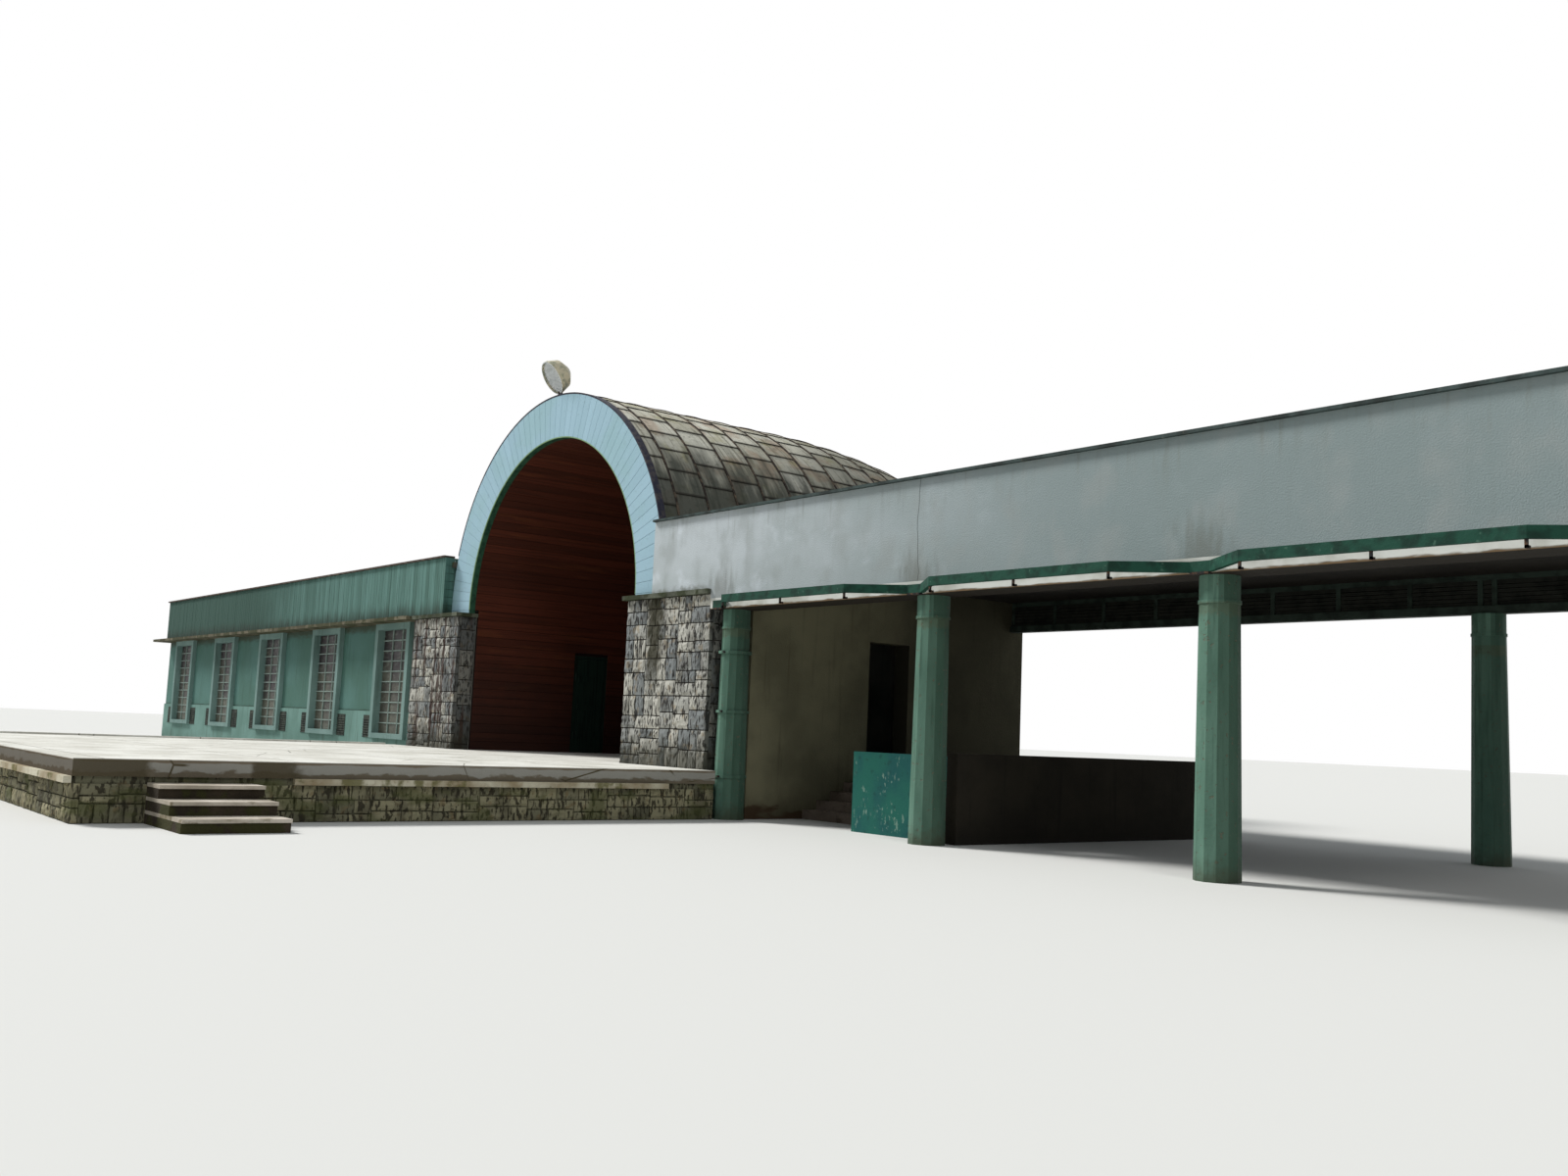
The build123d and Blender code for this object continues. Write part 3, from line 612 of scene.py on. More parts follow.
def draw_in(bm):
    """Draw the shell in towards the back: each rib sits further in, with straight bays between."""
    for vert in bm.verts:
        behind = max(0, min(vert.co.y, shell_back) - barrel_length) / rib_pitch
        bay = min(int(behind), taper_ribs - 1)
        near, far = (
            taper_radius - math.sqrt(taper_radius**2 - (rib * rib_pitch) ** 2) for rib in (bay, bay + 1)
        )
        inwards = near + (behind - bay) * (far - near)
        above = max(0, vert.co.z - spring_height)
        from_axis = Vector((vert.co.x, 0, above))
        if from_axis.length > 0:
            vert.co -= from_axis.normalized() * inwards


underlay = two_tone("roof_underlay", srgb(38, 36, 32), srgb(66, 60, 50), (0.05, 5), 0.95, (0.01, 4))
dress(underlay, "vault_roof")

sheeting = two_tone(
    "roof_sheeting", srgb(222, 219, 203), srgb(178, 174, 154), "tone", 0.72, (0.05, 5), 0.005
)
sheet_fall = sheeting.carried("fall")
sheeting.blots((0.4, 3, 0.52, 0.64), 0.5, srgb(170, 138, 112))
sheeting.blots((0.3, 4, 0.54, 0.68, 5), 0.5, srgb(156, 150, 96))
sheet_runs = sheeting.clouds((0.5, 0.035, 0.5), 5, 0.5, 0.68, shift=7)
sheeting.stain(sheet_runs * 0.55, srgb(88, 84, 66))
sheeting.blots((0.06, 5, 0.58, 0.68), 0.4, srgb(74, 72, 58))
# Darker and greener towards the foot: green grime, and painted shade as well.
sheet_foot_grime_and_shade = sheeting.ragged(sheeting.axis("Z"), (0.3, 0.1, 0.5), 5, 1.1, 4.05, 3.45)
sheeting.stain(sheet_foot_grime_and_shade * 0.88, srgb(54, 59, 53))
# Darker towards the back: painted shade.
sheet_back_shade = sheeting.ragged(sheeting.axis("Y"), 0.6, 4, 1.5, 1.8, 3.8)
sheeting.stain(sheet_back_shade * 0.5, srgb(62, 64, 56))
# The ends of each sheet are darker where they lap: dirt, and painted shade as well.
lap_dirt_and_shade = sheeting.rise(sheet_fall, 0.9, 0.97) + sheeting.rise(sheet_fall, 0.06, 0.01) * 0.6
sheeting.stain(lap_dirt_and_shade * 0.8, srgb(44, 41, 35))

sheets = new_work()
fall_layer = sheets.verts.layers.float.new("fall")
chance = random.Random(23)
rib_count = int((shell_back - first_rib) / rib_pitch + 1.5)
ribs = [0] + [first_rib + i * rib_pitch for i in range(rib_count)]
pitch = math.pi / roof_panels
for row, (row_start, row_end) in enumerate(zip(ribs, ribs[1:])):
    stagger = 0.5 * (row % 2)
    for i in range(roof_panels + row % 2):
        start, end = max(0, (i - stagger) * pitch), min(math.pi, (i + 1 - stagger) * pitch)
        grid = bmesh.ops.create_grid(sheets, x_segments=4, y_segments=3, size=0.5)["verts"]
        faces = list({face for vert in grid for face in vert.link_faces})
        seed = Vector((i, row, 0)) * 3.1
        for vert in grid:
            share_up, share_back = vert.co.x + 0.5, vert.co.y + 0.5
            angle = start + share_up * (end - start)
            lapped = share_up if angle > math.pi / 2 else 1 - share_up
            vert[fall_layer] = lapped
            dent = sheet_dents * noise.noise(seed + vert.co * 2.2)
            radius = ring_outer + (sheet_lift + sheet_lap * lapped + dent)
            depth = row_start + sheet_gap + share_back * (row_end - row_start - 2 * sheet_gap)
            vert.co = (radius * math.cos(angle), depth, spring_height + radius * math.sin(angle))
        grown = bmesh.ops.extrude_face_region(sheets, geom=faces)["geom"]
        outer = [item for item in grown if isinstance(item, bmesh.types.BMVert)]
        for vert in outer:
            outwards = (vert.co - Vector((0, vert.co.y, spring_height))).normalized()
            vert.co += outwards * sheet_thickness
        toned(sheets, grid + outer, chance.random())
draw_in(sheets)
put(sheets, "roof_sheets", sheeting)

seam_finish = two_tone(
    "roof_seams", srgb(50, 44, 40), srgb(104, 92, 78), (0.06, 4, 0.42, 0.68), 0.8, (0.02, 3)
)
seams = new_work()
for depth in ribs[1:]:
    strip = bmesh.new()
    seam_place = min(depth, shell_back - seam_width / 2)
    fit = Matrix.Translation((ring_outer + seam_height / 2, seam_place, spring_height))
    fit = fit @ Matrix.Diagonal((seam_height, seam_width, 1, 1))
    bmesh.ops.create_grid(strip, x_segments=1, y_segments=1, size=0.5, matrix=fit)
    over_arch(strip, strip.faces[:] + strip.edges[:] + strip.verts[:], 56)
    strip_mesh = bpy.data.meshes.new("seam")
    strip.to_mesh(strip_mesh)
    strip.free()
    seams.from_mesh(strip_mesh)
    bpy.data.meshes.remove(strip_mesh)
draw_in(seams)
put(seams, "roof_seams", seam_finish)


# Lining: red-brown boards that run from front to back over the whole inside of the shell and its
# walls, nailed to a dark backing, with level boards across the back. They stop at the stage door.
lining_board = 0.093
lining_thickness = 0.008
lining_start = 0.004
board_gap = 0.004
back_inset = 0.02
door_low, door_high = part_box("stage_door_frame")
lining_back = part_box("back_lining")[0].y

timber = two_tone(
    "lining_timber", srgb(86, 43, 30), srgb(66, 33, 23), "tone", 0.6, ((0.012, 0.6, 0.012), 4)
)
timber.blots(((0.02, 0.9, 0.02), 4, 0.45, 0.68), 0.5, srgb(46, 25, 19))
timber.blots(((0.08, 0.8, 0.08), 3, 0.58, 0.72), 0.3, srgb(108, 62, 36))
timber_foot = timber.ragged(timber.axis("Z"), 0.25, 4, 0.9, 2.3, 1.0)
timber.stain(timber_foot * 0.7, srgb(34, 25, 22))

dark_backing = two_tone("lining_backing", srgb(20, 13, 11), srgb(32, 20, 16), (0.05, 4), 0.95)
dress(dark_backing, "vault_lining", "lining_walls", "back_lining")

lining = new_work()
chance = random.Random(8)
vault_boards = round(math.pi * ring_inner / lining_board)
for i in range(vault_boards):
    half = ring_inner * math.tan(math.pi / vault_boards / 2) - board_gap / 2
    verts = block(
        lining,
        (ring_inner - lining_thickness, lining_start, spring_height - half),
        (ring_inner, lining_back, spring_height + half),
        chance.random(),
    )
    middle = math.pi * (i + 0.5) / vault_boards
    bmesh.ops.transform(lining, matrix=turned(middle), verts=verts)
wall_boards = round((spring_height - stage_top) / lining_board)
wall_pitch = (spring_height - stage_top) / wall_boards
wall_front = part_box("lining_walls")[0].y
for side in (-1, 1):
    across = sorted((side * (ring_inner - lining_thickness), side * ring_inner))
    for i in range(wall_boards):
        foot = stage_top + i * wall_pitch + board_gap / 2
        top = foot + wall_pitch - board_gap
        runs = [(wall_front, lining_back)]
        if side < 0 and foot < door_high.z:
            runs = [(wall_front, door_low.y), (door_high.y, lining_back)]
        for start, end in runs:
            block(lining, (across[0], start, foot), (across[1], end, top), chance.random())
for i in range(taper_ribs):
    bmesh.ops.bisect_plane(
        lining,
        geom=lining.verts[:] + lining.edges[:] + lining.faces[:],
        plane_co=(0, barrel_length + i * rib_pitch, 0),
        plane_no=(0, 1, 0),
    )
draw_in(lining)
put(lining, "lining_boards", timber)

back_boards = new_work()
back_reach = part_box("back_lining")[1].x - back_inset
crown = spring_height + back_reach
foot = stage_top
while foot < crown - board_gap:
    top = min(foot + lining_board - board_gap / 2, crown - board_gap / 4)
    board_corner = (-1, lining_back - lining_thickness, foot + board_gap / 2)
    for vert in block(back_boards, board_corner, (1, lining_back, top), chance.random()):
        above = max(0, vert.co.z - spring_height)
        vert.co.x *= math.sqrt(back_reach**2 - above**2)
    foot += lining_board
put(back_boards, "back_boards", timber)


# Walls of the shell behind the boards, and the back wall: plain old render on masonry, dark with
# damp that has run down it.
def old_render(name, clean, patch, dirt, streak):
    """Lime render: pale patches, fine pitting, dark streaks that run down it, and a dirty foot."""
    render = Finish(name)
    body = render.mix(render.clouds(0.5, 5, 0.38, 0.66), clean, patch)
    render.wear(body, 0.9, render.noise(0.012, 5) + render.noise(0.3, 3) * 0.6, 0.003)
    render.blots(((0.05, 0.05, 0.8), 5, 0.55, 0.75, 4), streak, dirt)
    foot = render.ragged(render.axis("Z"), 0.2, 5, 0.3, 0.42, 0.12)
    render.stain(foot * 0.75, dirt)
    return render


shell_render = old_render(
    "shell_render", srgb(138, 138, 130), srgb(116, 118, 112), srgb(84, 82, 72), 0.5
)
dress(shell_render, "shell_side_walls", "shell_back_wall")


# Stage door: a dark green leaf in a plain frame, with its knob and lift-off hinges painted over. The
# battens across it ride with it.
batten_feet = (0.17, 0.48, 0.8)
batten_height = 0.07
batten_thickness = 0.008
batten_insets = (0.045, 0.065)
leaf_low, leaf_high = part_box("stage_door")

door_paint = two_tone(
    "door_paint",
    srgb(26, 42, 35),
    srgb(18, 29, 24),
    ((0.02, 0.02, 0.4), 4, 0.42, 0.66),
    0.55,
    ((0.01, 0.01, 0.3), 4),
)
dress(door_paint, "stage_door_frame", "stage_door")
battens = new_work()
for batten_foot in batten_feet:
    foot = leaf_low.z + batten_foot
    block(
        battens,
        (-ring_inner, leaf_low.y + batten_insets[0], foot),
        (batten_thickness - ring_inner, leaf_high.y - batten_insets[1], foot + batten_height),
    )
ease(battens, 0.002)
put(battens, "door_battens", door_paint, "stage_door")


# Floodlight: a pressed reflector, white enamel inside and dull cream outside, with a flat glass in
# its collar, a bulb in a dark holder, and a short dark stub on the crown.
lamp_aim = Vector((-0.1, -0.85, -0.55)).normalized()
bulb_radius = 0.034
bulb_behind = 0.085
holder_behind = 0.134

enamel = Finish("lamp_enamel")
towards = sum(enamel.facing(name) * part for name, part in zip("XYZ", lamp_aim))
inside = enamel.mix(enamel.clouds(0.05, 5, 0.45, 0.7), srgb(240, 242, 244), srgb(206, 210, 212))
outside = enamel.mix(
    enamel.clouds(0.06, 5, 0.4, 0.62, shift=4), srgb(206, 196, 168), srgb(150, 152, 130)
)
enamel_body = enamel.mix(enamel.rise(towards, 0.05, 0.12), outside, inside)
enamel.wear(enamel_body, 0.4, enamel.noise(0.05, 2), 0.001)
dress(enamel, "floodlight_head")
lamp_glass = two_tone("lamp_glass", srgb(240, 243, 242), srgb(214, 220, 218), (0.06, 3), 0.1)
lamp_glass.shader.inputs["Alpha"].default_value = 0.2
lamp_glass.shader.inputs["Specular IOR Level"].default_value = 0.5
dress(lamp_glass, "floodlight_glass")
dark_steel = two_tone("dark_steel", srgb(38, 38, 38), srgb(92, 66, 48), (0.02, 4, 0.45, 0.7), 0.6)
dress(dark_steel, "floodlight_stub")

bulb_glass = two_tone("bulb_glass", srgb(232, 232, 226), srgb(204, 204, 196), (0.02, 4), 0.25)
glass_middle = sum(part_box("floodlight_glass"), Vector()) / 2


def aimed(place, way):
    """The place of a round part whose axis points this way."""
    return Matrix.Translation(place) @ way.to_track_quat("Z", "Y").to_matrix().to_4x4()


bulb = bmesh.new()
bulb_place = aimed(glass_middle - bulb_behind * lamp_aim, lamp_aim)
bmesh.ops.create_uvsphere(bulb, u_segments=24, v_segments=16, radius=bulb_radius, matrix=bulb_place)
put(bulb, "lamp_bulb", bulb_glass)
holder = bmesh.new()
holder_place = aimed(glass_middle - holder_behind * lamp_aim, lamp_aim)
bmesh.ops.create_cone(
    holder, cap_ends=True, segments=20, radius1=0.026, radius2=0.021, depth=0.06, matrix=holder_place
)
put(holder, "lamp_holder", dark_steel)


# Left wing: smooth render painted teal green, over a slightly proud and paler plinth with grilles
# beside the windows. Windows stand in deep lighter surrounds under the ledge.
def old_paint(name, fresh, faded, dirt, dirty):
    """Paint on render: faded in clouds, streaked below ledges and dirty near the ground."""
    paint = Finish(name)
    body = paint.mix(paint.clouds(0.7, 5, 0.36, 0.66), fresh, faded)
    paint.wear(body, 0.75, paint.noise(0.015, 5) + paint.noise(0.25, 3) * 0.8, 0.003)
    paint.blots(((0.07, 0.07, 0.7), 5, 0.54, 0.72, 6), dirty, dirt)
    foot = paint.ragged(paint.axis("Z"), 0.15, 5, 0.35, 0.55, 0.15)
    paint.stain(foot * 0.7, dirt)
    return paint


under_ledge_shade_band = (1.78, 1.88)
plinth_low, plinth_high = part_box("left_plinth")
plinth_shadow_band = (plinth_high.z + 0.05, plinth_high.z + 0.02)
wall_paint = old_paint("wall_paint", srgb(74, 108, 97), srgb(84, 120, 112), srgb(50, 72, 60), 0.3)
wall_z = wall_paint.axis("Z")
# The wall is painted darker in a band just under the ledge, as painted shade.
under_ledge_shade = wall_paint.ragged(wall_z, (0.2, 0.2, 0.06), 5, 0.16, *under_ledge_shade_band)
wall_paint.stain(under_ledge_shade * 0.75, srgb(62, 62, 46))
# A dark line along the wall just above the plinth is painted shadow.
plinth_shadow = wall_paint.ragged(wall_z, (0.2, 0.2, 0.03), 4, 0.04, *plinth_shadow_band)
wall_paint.stain(plinth_shadow * 0.65, srgb(46, 56, 44))
dress(wall_paint, "left_front_wall", "left_back_wall", "left_end_wall")
plinth_paint = old_paint("plinth_paint", srgb(112, 146, 137), srgb(94, 127, 117), srgb(56, 70, 56), 0.4)
dress(plinth_paint, "left_plinth")
surround_paint = old_paint(
    "surround_paint", srgb(122, 148, 142), srgb(106, 132, 126), srgb(74, 94, 86), 0.4
)
dress(surround_paint, "window_frames")

window_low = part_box("window_frames")[0]
glass_low, glass_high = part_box("window_glazing")
window_count = 5
window_width = 1.0
window_pitch = 2.16
pane_columns = 3
pane_rows = 10
bar_width = 0.013
bar_depth = 0.014
light_width = glass_high.x - glass_low.x - (window_count - 1) * window_pitch
light_height = glass_high.z - glass_low.z


def whole(finish, value):
    """The whole part of a number."""
    return finish.node("ShaderNodeMath", {"operation": "FLOOR"}, {0: value})


glazing = Finish("dusty_glass")
along = (glazing.axis("X") - glass_low.x) * (1 / window_pitch)
in_bay = (along - whole(glazing, along)) * (window_pitch * pane_columns / light_width)
up_light = (glazing.axis("Z") - glass_low.z) * (pane_rows / light_height)
cell = glazing.node(
    "ShaderNodeCombineXYZ",
    inputs={0: whole(glazing, in_bay), 1: whole(glazing, along), 2: whole(glazing, up_light)},
)
pane = glazing.node("ShaderNodeTexWhiteNoise", inputs={"Vector": cell}, output="Value")
dusty = glazing.rise(pane * 3 - up_light * 0.45 + glazing.noise(0.3, 3) * 3, -0.8, 2.4)
pane_body = glazing.mix(dusty, srgb(44, 38, 40), srgb(80, 80, 68))
glazing.wear(pane_body, 0.35 + 0.3 * glazing.noise(0.05, 4))
glazing.blots(((0.1, 0.1, 0.035), 5, 0.5, 0.7), 0.5, srgb(108, 112, 102))
glazing.shader.inputs["Specular IOR Level"].default_value = 0.3
dress(glazing, "window_glazing")

bar_paint = two_tone("window_bar_paint", srgb(160, 178, 170), srgb(108, 120, 112), (0.04, 4), 0.7)
bars = new_work()
bars_in_front = (glass_low.y - bar_depth, glass_low.y)
bars_behind = (glass_high.y, glass_high.y + bar_depth)
foot, top = glass_low.z, glass_high.z
for i in range(window_count):
    left = glass_low.x + i * window_pitch
    right = left + light_width
    for near, far in (bars_in_front, bars_behind):
        for column in range(1, pane_columns):
            x = left + column * (right - left) / pane_columns
            block(bars, (x - bar_width / 2, near, foot), (x + bar_width / 2, far, top))
        for pane_row in range(1, pane_rows):
            z = foot + pane_row * (top - foot) / pane_rows
            block(bars, (left, near, z - bar_width / 2), (right, far, z + bar_width / 2))
put(bars, "window_bars", bar_paint)

grille_width = 0.26
grille_gap = 0.02
grille_drop = 0.05
grille_backing = 0.003
grille_slat = ((-0.006, 0.004), (0.006, 0.012))
grille_slat_reach = 0.008
grille_slat_pitch = 0.03
slat_lean = 0.7


def lean_slat(bm, verts, face, height, way):
    """Lean a slat, and set it at a height on a face. Its front edge drops where way is 1, and its
    back edge where way is -1."""
    place = Matrix.Translation((0, face, height)) @ Matrix.Rotation(way * slat_lean, 4, "X")
    bmesh.ops.transform(bm, matrix=place, verts=verts)


grille_grey = two_tone("grille_grey", srgb(34, 40, 36), srgb(62, 68, 60), (0.05, 4, 0.35, 0.65), 0.85)
grilles = new_work()
foot, top = window_low.z, plinth_high.z - grille_drop
for i in range(window_count):
    left = window_low.x + i * window_pitch
    spots = [left - grille_gap - grille_width]
    if i < window_count - 1:
        spots.append(left + window_width + grille_gap)
    for spot in spots:
        spot_end = spot + grille_width
        for face, out in ((plinth_low.y, -1), (plinth_high.y, 1)):
            near, far = sorted((face, face + out * grille_backing))
            block(grilles, (spot, near, foot), (spot_end, far, top))
            z = foot
            while z + grille_slat_pitch < top:
                verts = block(grilles, (spot, *grille_slat[0]), (spot_end, *grille_slat[1]))
                lean_slat(grilles, verts, face + out * grille_slat_reach, z, out)
                z += grille_slat_pitch
put(grilles, "plinth_grilles", grille_grey)


# Left fascia: upright boards painted green on a backing, dark with dirt at the foot, under a brown
# metal flashing. Level boards close its return beside the ring.
fascia_low, fascia_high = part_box("left_fascia")
fascia_board = 0.082
fascia_proud = 0.007
fascia_drop = 0.006
fascia_margins = (0.008, 0.001)
return_gap = 0.004
return_thickness = 0.008
return_back = -0.002
level_boards = 7

board_paint = two_tone(
    "fascia_paint", srgb(94, 130, 122), srgb(74, 108, 99), "tone", 0.72, ((0.01, 0.01, 0.3), 4)
)
board_paint.blots(((0.03, 0.03, 0.5), 5, 0.48, 0.68), 0.6, srgb(54, 80, 70))
board_far = board_paint.ragged(board_paint.axis("X"), 1.2, 3, 3, -3.2, -7.5)
board_paint.stain(board_far * 0.9, srgb(44, 72, 62))
board_foot = board_paint.ragged(board_paint.axis("Z"), (0.08, 0.08, 0.3), 5, 0.3, 2.2, 1.98)
board_paint.stain(board_foot * 0.8, srgb(40, 52, 42))
fascia_backing = two_tone("fascia_backing", srgb(30, 44, 38), srgb(48, 64, 54), (0.05, 4), 0.9)
dress(fascia_backing, "left_fascia")

upright = new_work()
chance = random.Random(17)
foot, top = fascia_low.z + fascia_margins[0], fascia_high.z - fascia_margins[1]


def board_row(bm, plane, length):
    """Upright boards along a face, with a narrow gap between them."""
    count = round(length / fascia_board)
    for i in range(count):
        start, end = i * length / count + board_gap / 2, (i + 1) * length / count - board_gap / 2
        drop = chance.uniform(0, fascia_drop)
        proud = fascia_proud * chance.uniform(0.7, 1)
        verts = block(bm, (start, foot - drop, 0), (end, top, proud), chance.random())
        bmesh.ops.transform(bm, matrix=plane, verts=verts)


front_end = -ring_outer - return_gap
rear_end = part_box("left_back_wall")[1].x
facing_front = on_face((fascia_low.x, fascia_low.y, 0), (0, -1, 0))
board_row(upright, facing_front, front_end - fascia_low.x)
facing_left = on_face((fascia_low.x, fascia_high.y, 0), (-1, 0, 0))
board_row(upright, facing_left, fascia_high.y - fascia_low.y)
facing_back = on_face((rear_end, fascia_high.y, 0), (0, 1, 0))
board_row(upright, facing_back, rear_end - fascia_low.x)
level_pitch = (top - foot) / level_boards
for i in range(level_boards):
    level_foot = foot + i * level_pitch + board_gap / 2
    level_top = level_foot + level_pitch - board_gap
    tone = chance.uniform(0.6, 1)
    block(
        upright,
        (-ring_outer, fascia_low.y - fascia_proud, level_foot),
        (return_gap - ring_outer, ring_front, level_top),
        tone,
    )
    block(
        upright,
        (front_end - return_thickness, ring_low.y, level_foot),
        (front_end, return_back, level_top),
        tone,
    )
put(upright, "fascia_boards", board_paint)

brown_flashing = two_tone(
    "brown_flashing", srgb(58, 48, 42), srgb(96, 84, 70), (0.1, 5, 0.4, 0.7), 0.7, (0.08, 4), 0.006
)
dress(brown_flashing, "left_flashing")


# Flat roofs and floors: tarred felt, dusty and mossy in patches, and bare screed on the floors.
felt = two_tone(
    "roof_felt", srgb(74, 72, 66), srgb(104, 98, 84), (0.6, 6, 0.36, 0.66), 0.95, (0.01, 5), 0.003
)
felt.blots((0.12, 5, 0.56, 0.7, 3), 0.7, srgb(76, 78, 44))
dress(felt, "wing_roofs")
screed = old_concrete("screed", srgb(150, 146, 136), srgb(112, 108, 98), srgb(84, 80, 60), 0.1)
dress(screed, "wing_floors", "terrace_floor")


# Right wing: a long fascia of pale grey render, patched lighter and streaked from the coping, and
# dark above each column. A crack runs down it over the second column.
column_first = 3.114
bay_length = 2.26
crack_x = 5.411
crack_half = 0.006
pier_end = pier_high.x

fascia = Finish("right_render")
fascia_x = fascia.axis("X")
fascia_z = fascia.axis("Z")
fascia_body = fascia.mix(
    fascia.clouds((0.9, 0.9, 0.5), 6, 0.38, 0.64), srgb(188, 195, 198), srgb(174, 182, 183)
)
fascia.wear(fascia_body, 0.88, fascia.noise(0.01, 5) + fascia.noise(0.3, 3) * 0.8, 0.003)
fascia.blots(((0.3, 0.3, 0.26), 6, 0.56, 0.7, 8), 0.6, srgb(206, 213, 218))
fascia_far = fascia.ragged(fascia_x, 0.8, 4, 1.6, 3.2, 8.0)
fascia.stain(fascia_far * 0.9, srgb(126, 139, 138))
fascia.blots(((0.22, 0.22, 0.3), 6, 0.46, 0.7, 5), 0.5, srgb(148, 154, 152))
fascia_run = fascia.clouds((0.055, 0.055, 0.5), 6, 0.5, 0.78, shift=1)
high_part = fascia.ragged(fascia_z, (0.06, 0.06, 0.3), 5, 0.36, 2.4, 2.68)
fascia.stain(fascia_run * (0.1 + 0.6 * high_part), srgb(120, 124, 116))
from_column = fascia.node(
    "ShaderNodeMath", {"operation": "PINGPONG"}, {0: fascia_x - column_first, 1: bay_length / 2}
)
over_column = fascia.ragged(from_column, (0.05, 0.05, 0.2), 5, 0.4, 0.46, 0.2)
low_part = fascia.ragged(fascia_z, (0.05, 0.05, 0.2), 5, 0.3, 2.24, 1.96)
fascia.stain(over_column * low_part * 0.6, srgb(104, 106, 98))
low_moss = fascia.ragged(fascia_z, (0.06, 0.06, 0.05), 5, 0.16, 2.0, 1.92)
over_pier = fascia.rise(fascia_x, pier_end, pier_end - 0.1)
fascia.stain(low_moss * over_pier * 0.7, srgb(110, 112, 100))
crack_line = fascia_x + fascia.noise((9, 9, 0.25), 2) * 0.07
crack = fascia.rise(crack_line, crack_x - crack_half, crack_x)
crack = crack * fascia.rise(crack_line, crack_x + crack_half, crack_x)
fascia.stain(crack * 0.8, srgb(64, 66, 64))
dress(fascia, "right_fascia")

coping = two_tone(
    "coping", srgb(66, 78, 76), srgb(48, 54, 52), (0.12, 5, 0.4, 0.66), 0.85, (0.05, 5), 0.006
)
coping.blots((0.05, 4, 0.62, 0.74, 5), 0.6, srgb(126, 128, 114))
dress(coping, "right_coping")


# Lintel and ceiling: a painted beam whose paint has come off along the lower edge, with painted
# shade on its underside, and a plastered ceiling painted dark as shade.
lintel_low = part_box("right_lintel")[0].z
paint_edge = (lintel_low + 0.018, lintel_low + 0.028)

lintel = Finish("lintel_paint")
lintel_edge = lintel.axis("Z") + lintel.noise((0.12, 0.12, 0.03), 5) * 0.03
lintel_body = lintel.mix(lintel.clouds(0.2, 5, 0.4, 0.7), srgb(208, 209, 202), srgb(180, 180, 170))
lintel.wear(lintel_body, 0.8, lintel.rise(lintel_edge, *paint_edge), 0.003)
lintel.stain(lintel.rise(lintel_edge, *reversed(paint_edge)), srgb(112, 92, 68))
# Faces that look down, the underside of the beam, are painted dark as shade.
normal = lintel.node("ShaderNodeNewGeometry", output="Normal")
upwards = lintel.node("ShaderNodeSeparateXYZ", inputs={0: normal}, output="Z")
lintel.stain(lintel.rise(upwards, -0.5, -0.8), srgb(44, 39, 32))
dress(lintel, "right_lintel")

# The ceiling's plaster is painted dark as the shade under the roof.
ceiling_painted_shade = old_render("ceiling_plaster", srgb(56, 52, 46), srgb(46, 42, 38), srgb(30, 28, 25), 0.4)
dress(ceiling_painted_shade, "right_ceiling")


# Columns: twelve-sided posts painted mint green, dull and chipped, dirty at the foot and rusty
# under the neck. Iron collars round the first one are drawn tight with bolts.
neck_rust_top = 1.53
band_feet = (0.33, 0.85, 1.33)
bolt_turns = (-2.45, -1.35)
bolt_reach = 0.137
bolt_rise = 0.011

column_paint = Finish("column_paint")
column_z = column_paint.axis("Z")
column_body = column_paint.mix(
    column_paint.clouds((0.12, 0.12, 0.5), 5, 0.36, 0.66), srgb(104, 138, 121), srgb(86, 119, 103)
)
chips = column_paint.clouds(0.025, 4, 0.62, 0.7)
column_paint.wear(column_body, 0.6, column_paint.noise(0.02, 4) - chips, 0.002)
# Each facet is darkened by its own share, worked out from the way it faces: a fade that differs from
# facet to facet, and painted shade that sets the facets apart.
facet_fade_and_shade = column_paint.facing("X") * 3.1 + column_paint.facing("Y") * 5.7
facet_fade_and_shade = column_paint.node("ShaderNodeMath", {"operation": "PINGPONG"}, {0: facet_fade_and_shade, 1: 1})
column_paint.stain(facet_fade_and_shade * 0.55, srgb(68, 96, 82))
column_run = column_paint.clouds((0.03, 0.03, 0.5), 5, 0.54, 0.72, shift=2)
column_paint.stain(column_run * 0.5, srgb(62, 88, 74))
# Faces that look towards +X are painted dark as shade.
painted_shade_side = column_paint.rise(column_paint.facing("X"), 0.35, 0.85)
column_paint.stain(painted_shade_side * 0.65, srgb(42, 62, 48))
column_paint.stain(chips * 0.6, srgb(98, 92, 76))
column_foot = column_paint.ragged(column_z, 0.06, 5, 0.2, 0.26, 0.08)
column_paint.stain(column_foot * 0.7, srgb(66, 68, 52))
neck_rust = column_paint.ragged(
    column_z, (0.03, 0.03, 0.06), 5, 0.1, neck_rust_top - 0.03, neck_rust_top
)
neck_rust = neck_rust * column_paint.rise(column_z, neck_rust_top + 0.015, neck_rust_top)
column_paint.stain(neck_rust * 0.4, srgb(88, 92, 70))
dress(column_paint, "front_columns", "rear_columns", "column_bands")

band_middle = sum(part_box("column_bands"), Vector()) / 2
clamps = new_work()
for foot in band_feet:
    for turn in bolt_turns:
        outward = Vector((math.cos(turn), math.sin(turn), 0))
        bolt_place = Vector((band_middle.x, band_middle.y, foot + bolt_rise)) + outward * bolt_reach
        place = aimed(bolt_place, outward)
        bmesh.ops.create_cone(
            clamps, cap_ends=True, segments=6, radius1=0.01, radius2=0.009, depth=0.022, matrix=place
        )
put(clamps, "band_bolts", dark_steel)


